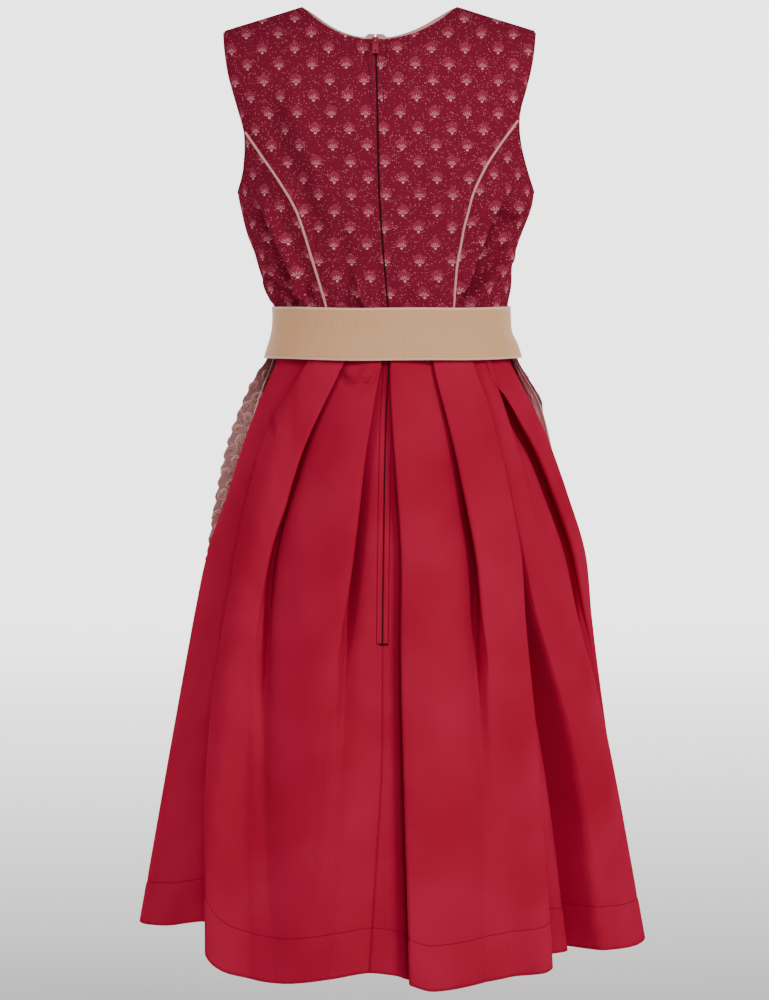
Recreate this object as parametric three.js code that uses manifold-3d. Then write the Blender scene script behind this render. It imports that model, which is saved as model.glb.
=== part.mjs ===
// A sleeveless dirndl: panelled bodice, pleated skirt, lace apron and ribbon sash.
// Millimetres, +Z up. The origin lies midway between the shoulder straps, where the wearer's
// shoulders carry the dress. The back faces +Y, the front faces -Y and the wearer's left is +X.
import * as THREE from 'three';
import Module from 'manifold-3d';

// ---------------------------------------------------------------- driving dimensions
const WALL = 1.2; // thickness of each cloth wall
const SEAM = 0.3; // gap between two pieces at a seam
const NECK_HALF = 92; // half width of the neck opening at the shoulders
const NECK_BACK = -41; // height of the back neckline at its middle
const NECK_FRONT = -150; // height of the front neckline at its middle
const SCOOP = 0.76; // below 1 the front neckline is squarer than an ellipse
const SHOULDER_HALF = 184; // half width over the shoulder tips
const SHOULDER_DROP = 28; // how far the shoulder tip lies under the neck point
const SHOULDER_ROUND = 70; // height over which the shoulder rounds over from back to front
const UNDERARM = -221;
const WAIST = -386;
const HEM = -1098;
const ZIP_OPENING = 2; // width of the slit that shows the zip
const ZIP_END = -735;
const ZIP_TAPE = 11; // width of each tape
const PIPING = 3; // width of the piping cord
const BINDING = 2.6; // width of the rolled armhole edge
const SASH_TOP = -355;
const SASH_BOTTOM = -416;
const SASH_LAP = 60; // how far the sash laps over itself at the front
const APRON_HEM = -1026;
const LACE_WALL = 1.5;

// ---------------------------------------------------------------- tables of sections
// Half width, middle, back depth and front depth of the bodice at each height.
const BODICE = [
  { z: 10, half: 214, mid: 0, back: 58, front: 56 },
  { z: -25, half: 213, mid: 0, back: 70, front: 68 },
  { z: -50, half: 212, mid: -0.5, back: 80, front: 80 },
  { z: -80, half: 208, mid: -1.5, back: 92, front: 92 },
  { z: -114, half: 198.5, mid: -3, back: 104, front: 106 },
  { z: -150, half: 186, mid: -5, back: 111, front: 119 },
  { z: -180, half: 179, mid: -6, back: 114, front: 128 },
  { z: -200, half: 176.5, mid: -7, back: 115, front: 131 },
  { z: -221, half: 176.5, mid: -7.5, back: 115, front: 132 },
  { z: -240, half: 173, mid: -7.5, back: 113, front: 130 },
  { z: -270, half: 163.5, mid: -5.5, back: 108, front: 122 },
  { z: -300, half: 152.5, mid: -6.5, back: 102, front: 111 },
  { z: -330, half: 147, mid: -10.5, back: 97, front: 102 },
  { z: -355, half: 139, mid: -14, back: 92, front: 95 },
  { z: -386, half: 136, mid: -15, back: 89, front: 92 },
];
// The skirt's plain form, on which the pleats are laid.
const SKIRT = [
  { z: -386, half: 136, mid: -15, back: 89, front: 92 },
  { z: -420, half: 141, mid: -17.5, back: 93, front: 97 },
  { z: -468, half: 160, mid: -22, back: 108, front: 110 },
  { z: -516, half: 177, mid: -22.5, back: 128, front: 126 },
  { z: -576, half: 195, mid: -22.5, back: 152, front: 147 },
  { z: -642, half: 217, mid: -19, back: 177, front: 171 },
  { z: -720, half: 231, mid: -15, back: 200, front: 193 },
  { z: -852, half: 254.5, mid: -15, back: 233, front: 225 },
  { z: -996, half: 278.5, mid: -15.5, back: 260, front: 252 },
  { z: -1120, half: 299.5, mid: -16.5, back: 280, front: 272 },
];
// Outside of the sash.
const SASH = [
  { z: -355, half: 143, mid: -14, back: 97, front: 99.3 },
  { z: -370, half: 143, mid: -14.3, back: 95.8, front: 99.5 },
  { z: -386, half: 144.6, mid: -14.3, back: 96, front: 102.5 },
  { z: -400, half: 150, mid: -15.8, back: 99, front: 106 },
  { z: -416, half: 155, mid: -16, back: 102.5, front: 110.5 },
];
// Sideways place of the centre back line, where the zip and the seam below it run.
const CENTRE_BACK = [
  { z: 10, x: 5.5 }, { z: -38, x: 5 }, { z: -104, x: 3 }, { z: -162, x: 2 }, { z: -231, x: 0 },
  { z: -288, x: -4 }, { z: -362, x: -10 }, { z: -418, x: -11 }, { z: -493, x: -7 }, { z: -575, x: -5 },
  { z: -735, x: -3 }, { z: -871, x: -2 }, { z: -966, x: 4 }, { z: -1098, x: 13 }, { z: -1120, x: 14 },
];
// Princess seams, as distances from the bodice's middle: back left, back right, front.
const PRINCESS = {
  backLeft: [
    { z: -148, x: 163.5 }, { z: -182, x: 141 }, { z: -213, x: 121 }, { z: -239, x: 106 },
    { z: -266, x: 94 }, { z: -294, x: 86 }, { z: -321, x: 81 }, { z: -357, x: 76 }, { z: -386, x: 73 },
  ],
  backRight: [
    { z: -135, x: 158.5 }, { z: -164, x: 136 }, { z: -193, x: 116 }, { z: -223, x: 101 },
    { z: -252, x: 94 }, { z: -282, x: 89 }, { z: -311, x: 82 }, { z: -357, x: 72 }, { z: -386, x: 67 },
  ],
  front: [
    { z: -130, x: 156 }, { z: -165, x: 125 }, { z: -200, x: 102 }, { z: -240, x: 88 },
    { z: -290, x: 76 }, { z: -340, x: 67 }, { z: -386, x: 62 },
  ],
};
// Armhole edges, as distances from the bodice's middle.
const ARMHOLE = {
  backLeft: [
    { z: -28, x: 184 }, { z: -53, x: 182 }, { z: -83, x: 178 }, { z: -118, x: 170 }, { z: -148, x: 163.5 },
    { z: -171, x: 163.5 }, { z: -194, x: 167 }, { z: -211, x: 172.5 }, { z: -221, x: 176.5 },
  ],
  backRight: [
    { z: -28, x: 184 }, { z: -65, x: 178 }, { z: -95, x: 170 }, { z: -119, x: 162 }, { z: -135, x: 158.5 },
    { z: -156, x: 158.5 }, { z: -182, x: 163.5 }, { z: -205, x: 170.5 }, { z: -221, x: 176.5 },
  ],
  front: [
    { z: -28, x: 184 }, { z: -60, x: 176 }, { z: -95, x: 164 }, { z: -130, x: 156 },
    { z: -160, x: 154.5 }, { z: -190, x: 160.5 }, { z: -209, x: 169 }, { z: -221, x: 176.5 },
  ],
};

// Heights at which each pleat's angle, step and lap are given: waist, hip, seat, thigh, knee, hem.
const PLEAT_HEIGHTS = [-386, -450, -530, -650, -850, -1098];
// One row for each pleat, in the order of growing angles: from the right of the front, over the
// back and the left side, to the middle of the front.
// angle: place of the visible edge in degrees, 0 at the back and 90 at the wearer's left.
// step: half the depth from the upper layer to the lower one. lap: how far the upper layer
// covers the fold under it; below zero the fold has opened into a slope of that width.
// faces: +1 where the edge looks towards growing angles, -1 where it looks back.
const PLEATS = [
  { name: 'right_front_4', faces: 1, angle: [-109, -110, -111, -112, -113, -112], step: [2.2, 4, 5, 6, 7, 8], lap: [8, 8, 6, -2, -12, -18] },
  { name: 'right_side', faces: 1, angle: [-52, -51.8, -63, -75.5, -79, -82], step: [2.2, 4.5, 6, 6, 3.5, 2], lap: [8, 8, 6, 3, -15, -30] },
  { name: 'right_valley', faces: 1, angle: [-46, -45, -45, -45.2, -51, -54], step: [0.4, 0.8, 2, 6, 9, 10], lap: [-12, -12, -10, -7, -12, -22] },
  { name: 'right_box', faces: -1, angle: [-40, -39.5, -41.4, -42, -39.4, -36.5], step: [2.2, 5, 7, 11, 17, 22], lap: [8, 10, 8, 8, 12, 16] },
  { name: 'right_inner', faces: 1, angle: [-19, -20.2, -23.3, -26.2, -28, -27], step: [2.2, 4, 5, 5, 2, 0.8], lap: [8, 8, 5, -8, -25, -30] },
  { name: 'zip_right', faces: 1, angle: [0.4, 1, -0.6, -2.9, -3.4, -4.6], step: [2.2, 5, 7, 8, 9, 12], lap: [6, 10, 8, 8, 10, 14] },
  { name: 'centre_back', seam: true, step: [-2.2, -5, -7, -8, -9, -12] },
  { name: 'zip_left', faces: -1, angle: [3.4, 8.7, 12, 13.4, 17, 20], step: [2.2, 5, 7, 6, 2, 0.8], lap: [6, 10, 8, 3, -20, -30] },
  { name: 'left_inner', faces: -1, angle: [19, 29.5, 38, 41.3, 39, 32], step: [2.2, 4.5, 6, 5, 2, 0.8], lap: [8, 10, 6, -8, -25, -30] },
  { name: 'left_box', faces: 1, angle: [38, 47.5, 55.5, 52.5, 52, 43.7], step: [2.2, 5, 6, 7, 12, 20], lap: [8, 10, 8, 6, 8, 14] },
  { name: 'left_side', faces: 1, angle: [60, 73.5, 88, 94, 96, 97], step: [2.2, 4.5, 5, 4, 3, 2], lap: [6, 8, 6, 3, -15, -25] },
  { name: 'left_seam', seam: true, angle: [84, 98, 104, 106, 106, 106], step: [-2, -3, -3, -3, -2, -1] },
  { name: 'left_front_1', faces: -1, angle: [104, 112, 117, 118, 118, 118], step: [2.2, 4, 5, 6, 7, 8], lap: [8, 8, 6, -2, -12, -18] },
  { name: 'left_front_2', faces: -1, angle: [124, 129, 132, 133, 134, 134], step: [2.2, 4, 5, 6, 7, 9], lap: [8, 9, 6, 0, -10, -16] },
  { name: 'left_front_3', faces: -1, angle: [143, 146, 148, 149, 150, 151], step: [2.2, 4, 5, 6, 7, 8], lap: [8, 8, 5, -3, -12, -18] },
  { name: 'left_front_4', faces: -1, angle: [162, 163, 164, 165, 166, 167], step: [2.2, 4, 5, 5, 6, 8], lap: [8, 8, 6, 0, -12, -20] },
  { name: 'right_front_1', faces: 1, angle: [190, 189, 188, 187, 186, 185], step: [2.2, 4, 5, 6, 6, 7], lap: [8, 8, 6, -2, -12, -18] },
  { name: 'right_front_2', faces: 1, angle: [210, 208, 206, 205, 203, 202], step: [2.2, 4, 5, 6, 7, 9], lap: [8, 9, 6, 0, -10, -16] },
  { name: 'right_front_3', faces: 1, angle: [230, 228, 226, 225, 224, 222], step: [2.2, 4, 5, 6, 7, 8], lap: [8, 8, 5, -3, -12, -20] },
];
const RIGHT_SEAM = { name: 'right_seam', seam: true, angle: [-84, -92, -96, -99, -99, -99], step: [-2, -3, -3, -3, -2, -1] };
// How far a panel 20 degrees wide bellies out between its pleats, at PLEAT_HEIGHTS.
const BELLY = [0, 1, 2.5, 3.5, 6, 9];
const BELLY_WIDTH = 20;
// Height of the hem round the skirt: it dips and lifts with the pleats.
const HEM_LINE = [
  { angle: -150, z: -1098 }, { angle: -100, z: -1108 }, { angle: -80, z: -1112 }, { angle: -45, z: -1098 },
  { angle: -33, z: -1102 }, { angle: -9, z: -1116 }, { angle: -1, z: -1100 }, { angle: 6, z: -1098 },
  { angle: 25, z: -1110 }, { angle: 42, z: -1104 }, { angle: 52, z: -1080 }, { angle: 64, z: -1074 },
  { angle: 90, z: -1088 }, { angle: 140, z: -1096 }, { angle: 210, z: -1098 },
];
// The apron: angles of its lining's side edges, clearance from the skirt's plain form, depth of
// its gathers, and how far the lace's left edge curls out beyond the lining.
const APRON = [
  { z: -384, left: 95, right: 270, clear: 3.2, gather: 0, curl: 0 },
  { z: -420, left: 100, right: 268, clear: 4.8, gather: 0.5, curl: 2 },
  { z: -468, left: 108, right: 260, clear: 10.5, gather: 2.5, curl: 17 },
  { z: -516, left: 110, right: 251, clear: 12.5, gather: 3.5, curl: 19 },
  { z: -576, left: 112, right: 249, clear: 14, gather: 4.5, curl: 15 },
  { z: -650, left: 115, right: 247, clear: 15, gather: 5.5, curl: 9 },
  { z: -850, left: 120, right: 242, clear: 20, gather: 8, curl: 6 },
  { z: -1026, left: 123, right: 238, clear: 25, gather: 11, curl: 6 },
];
const GATHERS = 9; // waves across the apron
const LACE_LEFT = 16; // how far the lace reaches past the lining's left edge
const LACE_RIGHT = 6; // and past its right edge

// ---------------------------------------------------------------- colours and finishes
const finish = (color, roughness, metalness = 0) => new THREE.MeshStandardMaterial({ color, roughness, metalness });
const JACQUARD = finish(0x86172f, 0.62);
const TAFFETA = finish(0xab1c30, 0.45);
const RIBBON = finish(0xb8977a, 0.5);
const ROSE_SATIN = finish(0xc9a3a1, 0.5);
const LACE = finish(0x9c7672, 0.8);
const TAPE = finish(0x5c1020, 0.8);
const ZIP_METAL = finish(0x7a1426, 0.35, 0.5);

// ---------------------------------------------------------------- small tools
const rad = THREE.MathUtils.degToRad;
const deg = THREE.MathUtils.radToDeg;
const lerp = THREE.MathUtils.lerp;
const clamp = THREE.MathUtils.clamp;
const smooth = (t) => t * t * (3 - 2 * t);

// A smooth curve through the rows of a table, read at a place along one column.
function read(rows, key, at, along = 'z') {
  const list = rows[0][along] < rows[rows.length - 1][along] ? rows : [...rows].reverse();
  const last = list.length - 1;
  if (at <= list[0][along]) return list[0][key];
  if (at >= list[last][along]) return list[last][key];
  const i = list.findIndex((row) => row[along] > at) - 1;
  const slope = (k) => {
    const a = list[Math.max(k - 1, 0)];
    const b = list[Math.min(k + 1, last)];
    return (b[key] - a[key]) / (b[along] - a[along]);
  };
  const span = list[i + 1][along] - list[i][along];
  const t = (at - list[i][along]) / span;
  const t2 = t * t;
  const t3 = t2 * t;
  return (2 * t3 - 3 * t2 + 1) * list[i][key] + (t3 - 2 * t2 + t) * span * slope(i)
    + (3 * t2 - 2 * t3) * list[i + 1][key] + (t3 - t2) * span * slope(i + 1);
}

// A column given at PLEAT_HEIGHTS, read at any height.
function atHeight(values, z) {
  const rows = PLEAT_HEIGHTS.map((height, i) => ({ z: height, value: values[i] }));
  return read(rows, 'value', z);
}

// A closed mesh from two grids of points, one on each face of a wall. Each grid is a list of
// rows. A wall that runs all round has no side edges.
function wallMesh(name, outer, inner, material, round = false) {
  const rows = outer.length;
  const cols = outer[0].length;
  const points = [...outer.flat(), ...inner.flat()];
  const at = (side, r, c) => side * rows * cols + r * cols + (c % cols);
  const faces = [];
  const quad = (a, b, c, d) => faces.push(a, b, c, a, c, d);
  const lastCol = round ? cols : cols - 1;
  for (let r = 0; r < rows - 1; r++) {
    for (let c = 0; c < lastCol; c++) {
      quad(at(0, r, c), at(0, r, c + 1), at(0, r + 1, c + 1), at(0, r + 1, c));
      quad(at(1, r, c), at(1, r + 1, c), at(1, r + 1, c + 1), at(1, r, c + 1));
    }
  }
  for (let c = 0; c < lastCol; c++) {
    quad(at(0, 0, c + 1), at(0, 0, c), at(1, 0, c), at(1, 0, c + 1));
    quad(at(0, rows - 1, c), at(0, rows - 1, c + 1), at(1, rows - 1, c + 1), at(1, rows - 1, c));
  }
  if (!round) {
    for (let r = 0; r < rows - 1; r++) {
      quad(at(0, r, 0), at(0, r + 1, 0), at(1, r + 1, 0), at(1, r, 0));
      quad(at(0, r + 1, cols - 1), at(0, r, cols - 1), at(1, r, cols - 1), at(1, r + 1, cols - 1));
    }
  }
  return closedMesh(name, points, faces, material);
}

// A cord of a given section along a path. Each path point carries its place and the two
// directions in which the section lies. An open cord gets flat ends.
function cordMesh(name, path, section, material, closed = false) {
  const sides = section.length;
  const points = path.flatMap((p) => section.map(([across, out]) => p.place.clone()
    .addScaledVector(p.across, across).addScaledVector(p.out, out)));
  const faces = [];
  const last = closed ? path.length : path.length - 1;
  for (let i = 0; i < last; i++) {
    const here = i * sides;
    const next = ((i + 1) % path.length) * sides;
    for (let k = 0; k < sides; k++) {
      const k2 = (k + 1) % sides;
      faces.push(here + k, here + k2, next + k2, here + k, next + k2, next + k);
    }
  }
  if (!closed) {
    const end = (path.length - 1) * sides;
    for (let k = 1; k < sides - 1; k++) {
      faces.push(0, k + 1, k, end, end + k, end + k + 1);
    }
  }
  return closedMesh(name, points, faces, material);
}

// Makes the mesh, and turns every face over if the body came out inside out.
function closedMesh(name, points, faces, material) {
  let volume = 0;
  for (let i = 0; i < faces.length; i += 3) {
    const [a, b, c] = [points[faces[i]], points[faces[i + 1]], points[faces[i + 2]]];
    volume += a.dot(new THREE.Vector3().crossVectors(b, c));
  }
  const index = volume > 0 ? faces : [...faces].reverse();
  const geometry = new THREE.BufferGeometry().setFromPoints(points);
  geometry.setIndex(index);
  geometry.computeVertexNormals();
  const mesh = new THREE.Mesh(geometry, material);
  mesh.name = name;
  return mesh;
}

// ---------------------------------------------------------------- the bodice's form
// Height of the shoulder line over a distance from the middle.
function shoulderLine(x) {
  const along = Math.max(0, Math.abs(x) - NECK_HALF) / (SHOULDER_HALF - NECK_HALF);
  return -SHOULDER_DROP * along;
}

// A point of the bodice at an angle round the body (0 back, 90 left, 180 front) and a height.
function bodicePoint(angle, z) {
  const half = read(BODICE, 'half', z);
  const x = half * Math.sin(angle);
  const depth = read(BODICE, Math.cos(angle) > 0 ? 'back' : 'front', z);
  const under = clamp((shoulderLine(x) - z) / SHOULDER_ROUND, 0, 1);
  const rounding = Math.sqrt(1 - (1 - under) ** 2);
  return new THREE.Vector3(read(BODICE, 'mid', z) + x, depth * Math.cos(angle) * rounding, z);
}

// The outward direction of a form at (angle, z), from two small steps along it.
function outward(form, angle, z) {
  const turn = 0.004;
  const drop = 0.8;
  const across = form(angle + turn, z).sub(form(angle - turn, z));
  const up = form(angle, z).sub(form(angle, z - drop));
  return new THREE.Vector3().crossVectors(up, across).normalize();
}

const angleOf = (x, z) => Math.asin(clamp(x / read(BODICE, 'half', z), -1, 1));
const centreAngle = (z) => angleOf(read(CENTRE_BACK, 'x', z) - read(BODICE, 'mid', z), z);

// Points along a table of (x, z), counted 0 to 1 from its lowest row to its highest.
function alongEdge(rows, t) {
  const low = rows[rows.length - 1].z;
  const high = rows[0].z;
  const z = lerp(low, high, t);
  return { x: read(rows, 'x', z), z };
}

// One edge curve of a panel: a list of stretches, each a share of the way and a function that
// gives (x, z). The sign puts it on the wearer's left or right.
function edgeCurve(stretches, sign) {
  return (v) => {
    let from = 0;
    for (const [to, point] of stretches) {
      if (v <= to || to === 1) {
        const { x, z } = point(clamp((v - from) / (to - from), 0, 1));
        return { angle: sign * angleOf(x, z), z };
      }
      from = to;
    }
    return null;
  };
}

// A four-sided panel between a left, right, bottom and top edge, as two grids of points.
// The front panels mirror their angles to the far side of the body.
function panelGrids({ left, right, bottom, top, rows, cols, front, out = 0, wall = WALL }) {
  const outer = [];
  const inner = [];
  for (let r = 0; r <= rows; r++) {
    const v = r / rows;
    const outerRow = [];
    const innerRow = [];
    for (let c = 0; c <= cols; c++) {
      const u = c / cols;
      const mix = (key) => {
        const corners = lerp(lerp(left(0)[key], right(0)[key], u), lerp(left(1)[key], right(1)[key], u), v);
        return lerp(bottom(u)[key], top(u)[key], v) + lerp(left(v)[key], right(v)[key], u) - corners;
      };
      const angle = front ? Math.PI - mix('angle') : mix('angle');
      outerRow.push(panelSkin(angle, mix('z'), out, front));
      innerRow.push(panelSkin(angle, mix('z'), out - wall, front));
    }
    outer.push(outerRow);
    inner.push(innerRow);
  }
  return { outer, inner };
}

// A bodice point moved out from the cloth's outside face. Back and front panels are drawn half
// a seam apart, so that their edges on the side line and the shoulder line don't touch.
function panelSkin(angle, z, out, front) {
  const p = bodicePoint(angle, z).addScaledVector(outward(bodicePoint, angle, z), out);
  p.y += (front ? -1 : 1) * (SEAM / 2 + 0.05);
  return p;
}

const straight = (edgeA, edgeB) => (u) => ({
  angle: lerp(edgeA.angle, edgeB.angle, u),
  z: lerp(edgeA.z, edgeB.z, u),
});

// An edge moved sideways along the cloth, to leave the gap of a seam.
const shifted = (edge, distance, until = 1) => (v) => {
  const p = edge(v);
  if (v > until) return p;
  return { angle: p.angle + distance / read(BODICE, 'half', p.z), z: p.z };
};

// ---------------------------------------------------------------- bodice panels
const PANEL_ROWS = 22;
const NECK_ROWS = 6; // rows of a centre panel that end on the neckline
const SEAM_ROWS = 11; // rows of a panel that end on the princess seam
const PRINCESS_SHARE = SEAM_ROWS / PANEL_ROWS;
const CENTRE_SHARE = 1 - NECK_ROWS / PANEL_ROWS;

const shoulderPoint = (t) => ({ x: lerp(NECK_HALF, SHOULDER_HALF, t), z: lerp(0, -SHOULDER_DROP, t) });

// A centre panel reaches from the centre line to the princess seam, and up over the shoulder.
function centrePanel(name, sign, princess, armhole, front) {
  const meet = princess[0].z;
  const upperArmhole = [...armhole.filter((row) => row.z > meet), princess[0]];
  const neckZ = front ? NECK_FRONT : NECK_BACK;
  const inner = (v) => {
    if (v <= CENTRE_SHARE) {
      const z = lerp(WAIST, neckZ, v / CENTRE_SHARE);
      const gap = (front ? SEAM / 2 : ZIP_OPENING / 2) / read(BODICE, 'half', z);
      return { angle: (front ? 0 : centreAngle(z)) + sign * gap, z };
    }
    const t = (v - CENTRE_SHARE) / (1 - CENTRE_SHARE);
    return necklinePoint(sign, t, front);
  };
  const outerEdge = edgeCurve([
    [PRINCESS_SHARE, (t) => alongEdge(princess, t)],
    [1, (t) => alongEdge(upperArmhole, t)],
  ], sign);
  const outerSeam = shifted(outerEdge, -sign * SEAM / 2, PRINCESS_SHARE);
  const top = (u) => {
    const { x, z } = shoulderPoint(u);
    return { angle: sign * angleOf(x, z), z };
  };
  const bottom = straight(inner(0), outerSeam(0));
  const { outer, inner: inside } = panelGrids({
    left: inner, right: outerSeam, bottom, top, rows: PANEL_ROWS, cols: 6, front,
  });
  return wallMesh(name, outer, inside, JACQUARD);
}

// The neckline from the centre line (t = 0) to the neck point (t = 1).
function necklinePoint(sign, t, front) {
  if (front) {
    const turn = lerp(0, Math.PI / 2, t);
    const z = NECK_FRONT * Math.max(Math.cos(turn), 0) ** SCOOP;
    const x = Math.max(NECK_HALF * Math.sin(turn) ** SCOOP, SEAM / 2);
    return { angle: sign * angleOf(x, z), z };
  }
  const turn = t * Math.PI / 2;
  const z = NECK_BACK * Math.cos(turn);
  const start = centreAngle(NECK_BACK) + sign * (ZIP_OPENING / 2) / read(BODICE, 'half', NECK_BACK);
  const end = sign * angleOf(NECK_HALF, 0);
  return { angle: lerp(start, end, Math.sin(turn)), z };
}

// A side panel reaches from the princess seam to the side seam under the arm.
function sidePanel(name, sign, princess, armhole, front) {
  const meet = princess[0].z;
  const sideLine = Math.PI / 2;
  const left = shifted(edgeCurve([[1, (t) => alongEdge(princess, t)]], sign), sign * SEAM / 2);
  const right = (v) => ({ angle: sign * sideLine, z: lerp(WAIST, UNDERARM, v) });
  const bottom = straight(left(0), right(0));
  const top = (u) => {
    const z = lerp(meet, UNDERARM, Math.sin(u * Math.PI / 2));
    const x = read(armhole, 'x', z);
    const start = left(1).angle - sign * angleOf(princess[0].x, meet);
    return { angle: (u === 1 ? sign * sideLine : sign * angleOf(x, z)) + start * (1 - u), z };
  };
  const { outer, inner } = panelGrids({ left, right, bottom, top, rows: SEAM_ROWS, cols: 8, front });
  return wallMesh(name, outer, inner, JACQUARD);
}

// ---------------------------------------------------------------- bodice trimmings
// Path frames along a list of (angle, z): place, direction across the cord and direction out.
function surfacePath(list, lift) {
  const places = list.map(({ angle, z, front }) => panelSkin(angle, z, lift, front));
  return places.map((place, i) => {
    const before = places[Math.max(i - 1, 0)];
    const after = places[Math.min(i + 1, places.length - 1)];
    const along = after.clone().sub(before).normalize();
    const out = outward(bodicePoint, list[i].angle, list[i].z);
    out.addScaledVector(along, -out.dot(along)).normalize();
    return { place, along, out, across: new THREE.Vector3().crossVectors(out, along) };
  });
}

// The piping cord lies over the back princess seam, from the armhole to the waist.
function piping(name, sign, princess) {
  const list = [];
  for (let i = 0; i <= SEAM_ROWS; i++) {
    const z = clamp(lerp(princess[0].z, WAIST, i / SEAM_ROWS), WAIST + 1, princess[0].z - 2);
    list.push({ angle: sign * angleOf(read(princess, 'x', z), z), z, front: false });
  }
  const r = PIPING / 2;
  const section = [[-r, 0], [-0.7 * r, 1.3], [0, 1.9], [0.7 * r, 1.3], [r, 0]];
  return cordMesh(name, surfacePath(list, SEAM + 0.15), section, ROSE_SATIN);
}

// The armhole edge from the shoulder tip down the back and up the front again.
function armholeLoop(sign, back, front) {
  const steps = 18;
  const list = [];
  for (const [rows, isFront] of [[back, false], [front, true]]) {
    for (let i = 0; i < steps; i++) {
      const share = isFront ? 1 - (i + 0.5) / steps : (i + 0.5) / steps;
      const z = lerp(-SHOULDER_DROP, UNDERARM, Math.sin(share * Math.PI / 2));
      const angle = sign * angleOf(read(rows, 'x', z), z);
      list.push({ angle: isFront ? Math.PI - angle : angle, z, front: isFront });
    }
  }
  return list;
}

function armholeBinding(name, sign, back, front) {
  const list = armholeLoop(sign, back, front);
  const edge = list.map(({ angle, z, front: f }) => panelSkin(angle, z, -WALL / 2, f));
  const middle = new THREE.Vector3(sign * (SHOULDER_HALF + 10), 0, -125);
  const path = edge.map((place, i) => {
    const along = edge[(i + 1) % edge.length].clone().sub(edge[(i + edge.length - 1) % edge.length]).normalize();
    const out = outward(bodicePoint, list[i].angle, list[i].z);
    out.addScaledVector(along, -out.dot(along)).normalize();
    const across = new THREE.Vector3().crossVectors(out, along);
    if (across.dot(middle.clone().sub(place)) < 0) across.negate();
    return { place: place.clone().addScaledVector(across, SEAM + 0.5 + BINDING / 2), across, out };
  });
  const r = BINDING / 2;
  const section = Array.from({ length: 6 }, (_, k) => {
    const turn = (k + 0.5) * Math.PI / 3;
    return [r * Math.cos(turn) * 1.1, r * Math.sin(turn) * 1.15];
  });
  return cordMesh(name, path, section, JACQUARD, true);
}

// The facing shows as a thin edge inside the neckline, open at the zip.
function neckFacing(name) {
  const above = 3;
  const below = 6;
  const quarter = (sign, front) => Array.from({ length: NECK_ROWS + 1 }, (_, i) => {
    const p = necklinePoint(sign, i / NECK_ROWS, front);
    return { angle: front ? Math.PI - p.angle : p.angle, z: p.z, front };
  });
  const all = [
    ...quarter(1, false), ...quarter(1, true).reverse(), ...quarter(-1, true), ...quarter(-1, false).reverse(),
  ];
  const places = all.map(({ angle, z, front }) => panelSkin(angle, z, 0, front));
  const middle = new THREE.Vector3(0, 0, 10);
  const frames = places.map((place, i) => {
    const before = places[Math.max(i - 1, 0)];
    const after = places[Math.min(i + 1, places.length - 1)];
    const along = after.clone().sub(before).normalize();
    const out = outward(bodicePoint, all[i].angle, all[i].z);
    out.addScaledVector(along, -out.dot(along)).normalize();
    const inwards = new THREE.Vector3().crossVectors(out, along);
    if (inwards.dot(middle.clone().sub(place)) < 0) inwards.negate();
    return { place, out, inwards };
  });
  const depth = WALL + SEAM + 0.4;
  const curve = 1.3; // how far the cloth falls away over the part below the edge
  const row = (distance, under) => frames.map(({ place, out, inwards }) => place.clone()
    .addScaledVector(inwards, distance).addScaledVector(out, -under));
  const outer = [row(-below, depth + curve), row(above, depth)];
  const inner = [row(-below, depth + curve + 1), row(above, depth + 1)];
  return wallMesh(name, outer, inner, ROSE_SATIN);
}

// ---------------------------------------------------------------- the skirt's form
function skirtBase(z) {
  return {
    half: read(SKIRT, 'half', z), mid: read(SKIRT, 'mid', z),
    back: read(SKIRT, 'back', z), front: read(SKIRT, 'front', z),
  };
}

// A point of the skirt at an angle, moved out from its plain form within the level section.
function skirtPoint(base, angle, out) {
  const depth = Math.cos(angle) > 0 ? base.back : base.front;
  const normal = new THREE.Vector2(Math.sin(angle) / base.half, Math.cos(angle) / depth).normalize();
  return new THREE.Vector2(base.mid + base.half * Math.sin(angle), depth * Math.cos(angle))
    .addScaledVector(normal, out);
}

// Length along the plain form for one radian at an angle.
function arcRate(base, angle) {
  const depth = Math.cos(angle) > 0 ? base.back : base.front;
  return Math.hypot(base.half * Math.cos(angle), depth * Math.sin(angle));
}

const seamAngle = (z, base) => Math.asin((read(CENTRE_BACK, 'x', z) - base.mid) / base.half);

const hemHeight = (angle) => {
  const turned = angle > 210 ? angle - 360 : angle;
  return read(HEM_LINE, 'z', turned, 'angle');
};

// One pleat's own points at a height, as (distance along, distance out), in the order in which
// the cloth runs. Where the pleat is closed the cloth goes out, back under and on again.
function pleatPoints(pleat, z) {
  const step = atHeight(pleat.step, z);
  const lap = atHeight(pleat.lap, z);
  const nose = 1.4;
  const closed = [
    [0, step], [nose, step / 2], [0, 0], [-lap, 0], [-lap - nose, -step / 2], [-lap, -step],
  ];
  const wide = Math.max(-lap, 0);
  const open = [
    [0, step], [0.25 * wide, 0.6 * step], [0.42 * wide, 0.15 * step],
    [0.58 * wide, -0.15 * step], [0.75 * wide, -0.6 * step], [wide, -step],
  ];
  const share = smooth(clamp((lap + 4) / 8, 0, 1));
  const points = closed.map(([along, out], i) => [lerp(open[i][0], along, share), lerp(open[i][1], out, share)]);
  return pleat.faces > 0 ? points : points.map(([along, out]) => [-along, out]).reverse();
}

// The stations of a stretch of skirt: each has its angle and its points at a height.
function stationAt(row, z, base) {
  const angle = row.angle ? rad(atHeight(row.angle, z)) : seamAngle(z, base);
  if (row.seam) return { angle, points: [[0, atHeight(row.step, z)]] };
  return { angle, points: pleatPoints(row, z) };
}

const PANEL_STEPS = [0.2, 0.5, 0.8];

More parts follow.
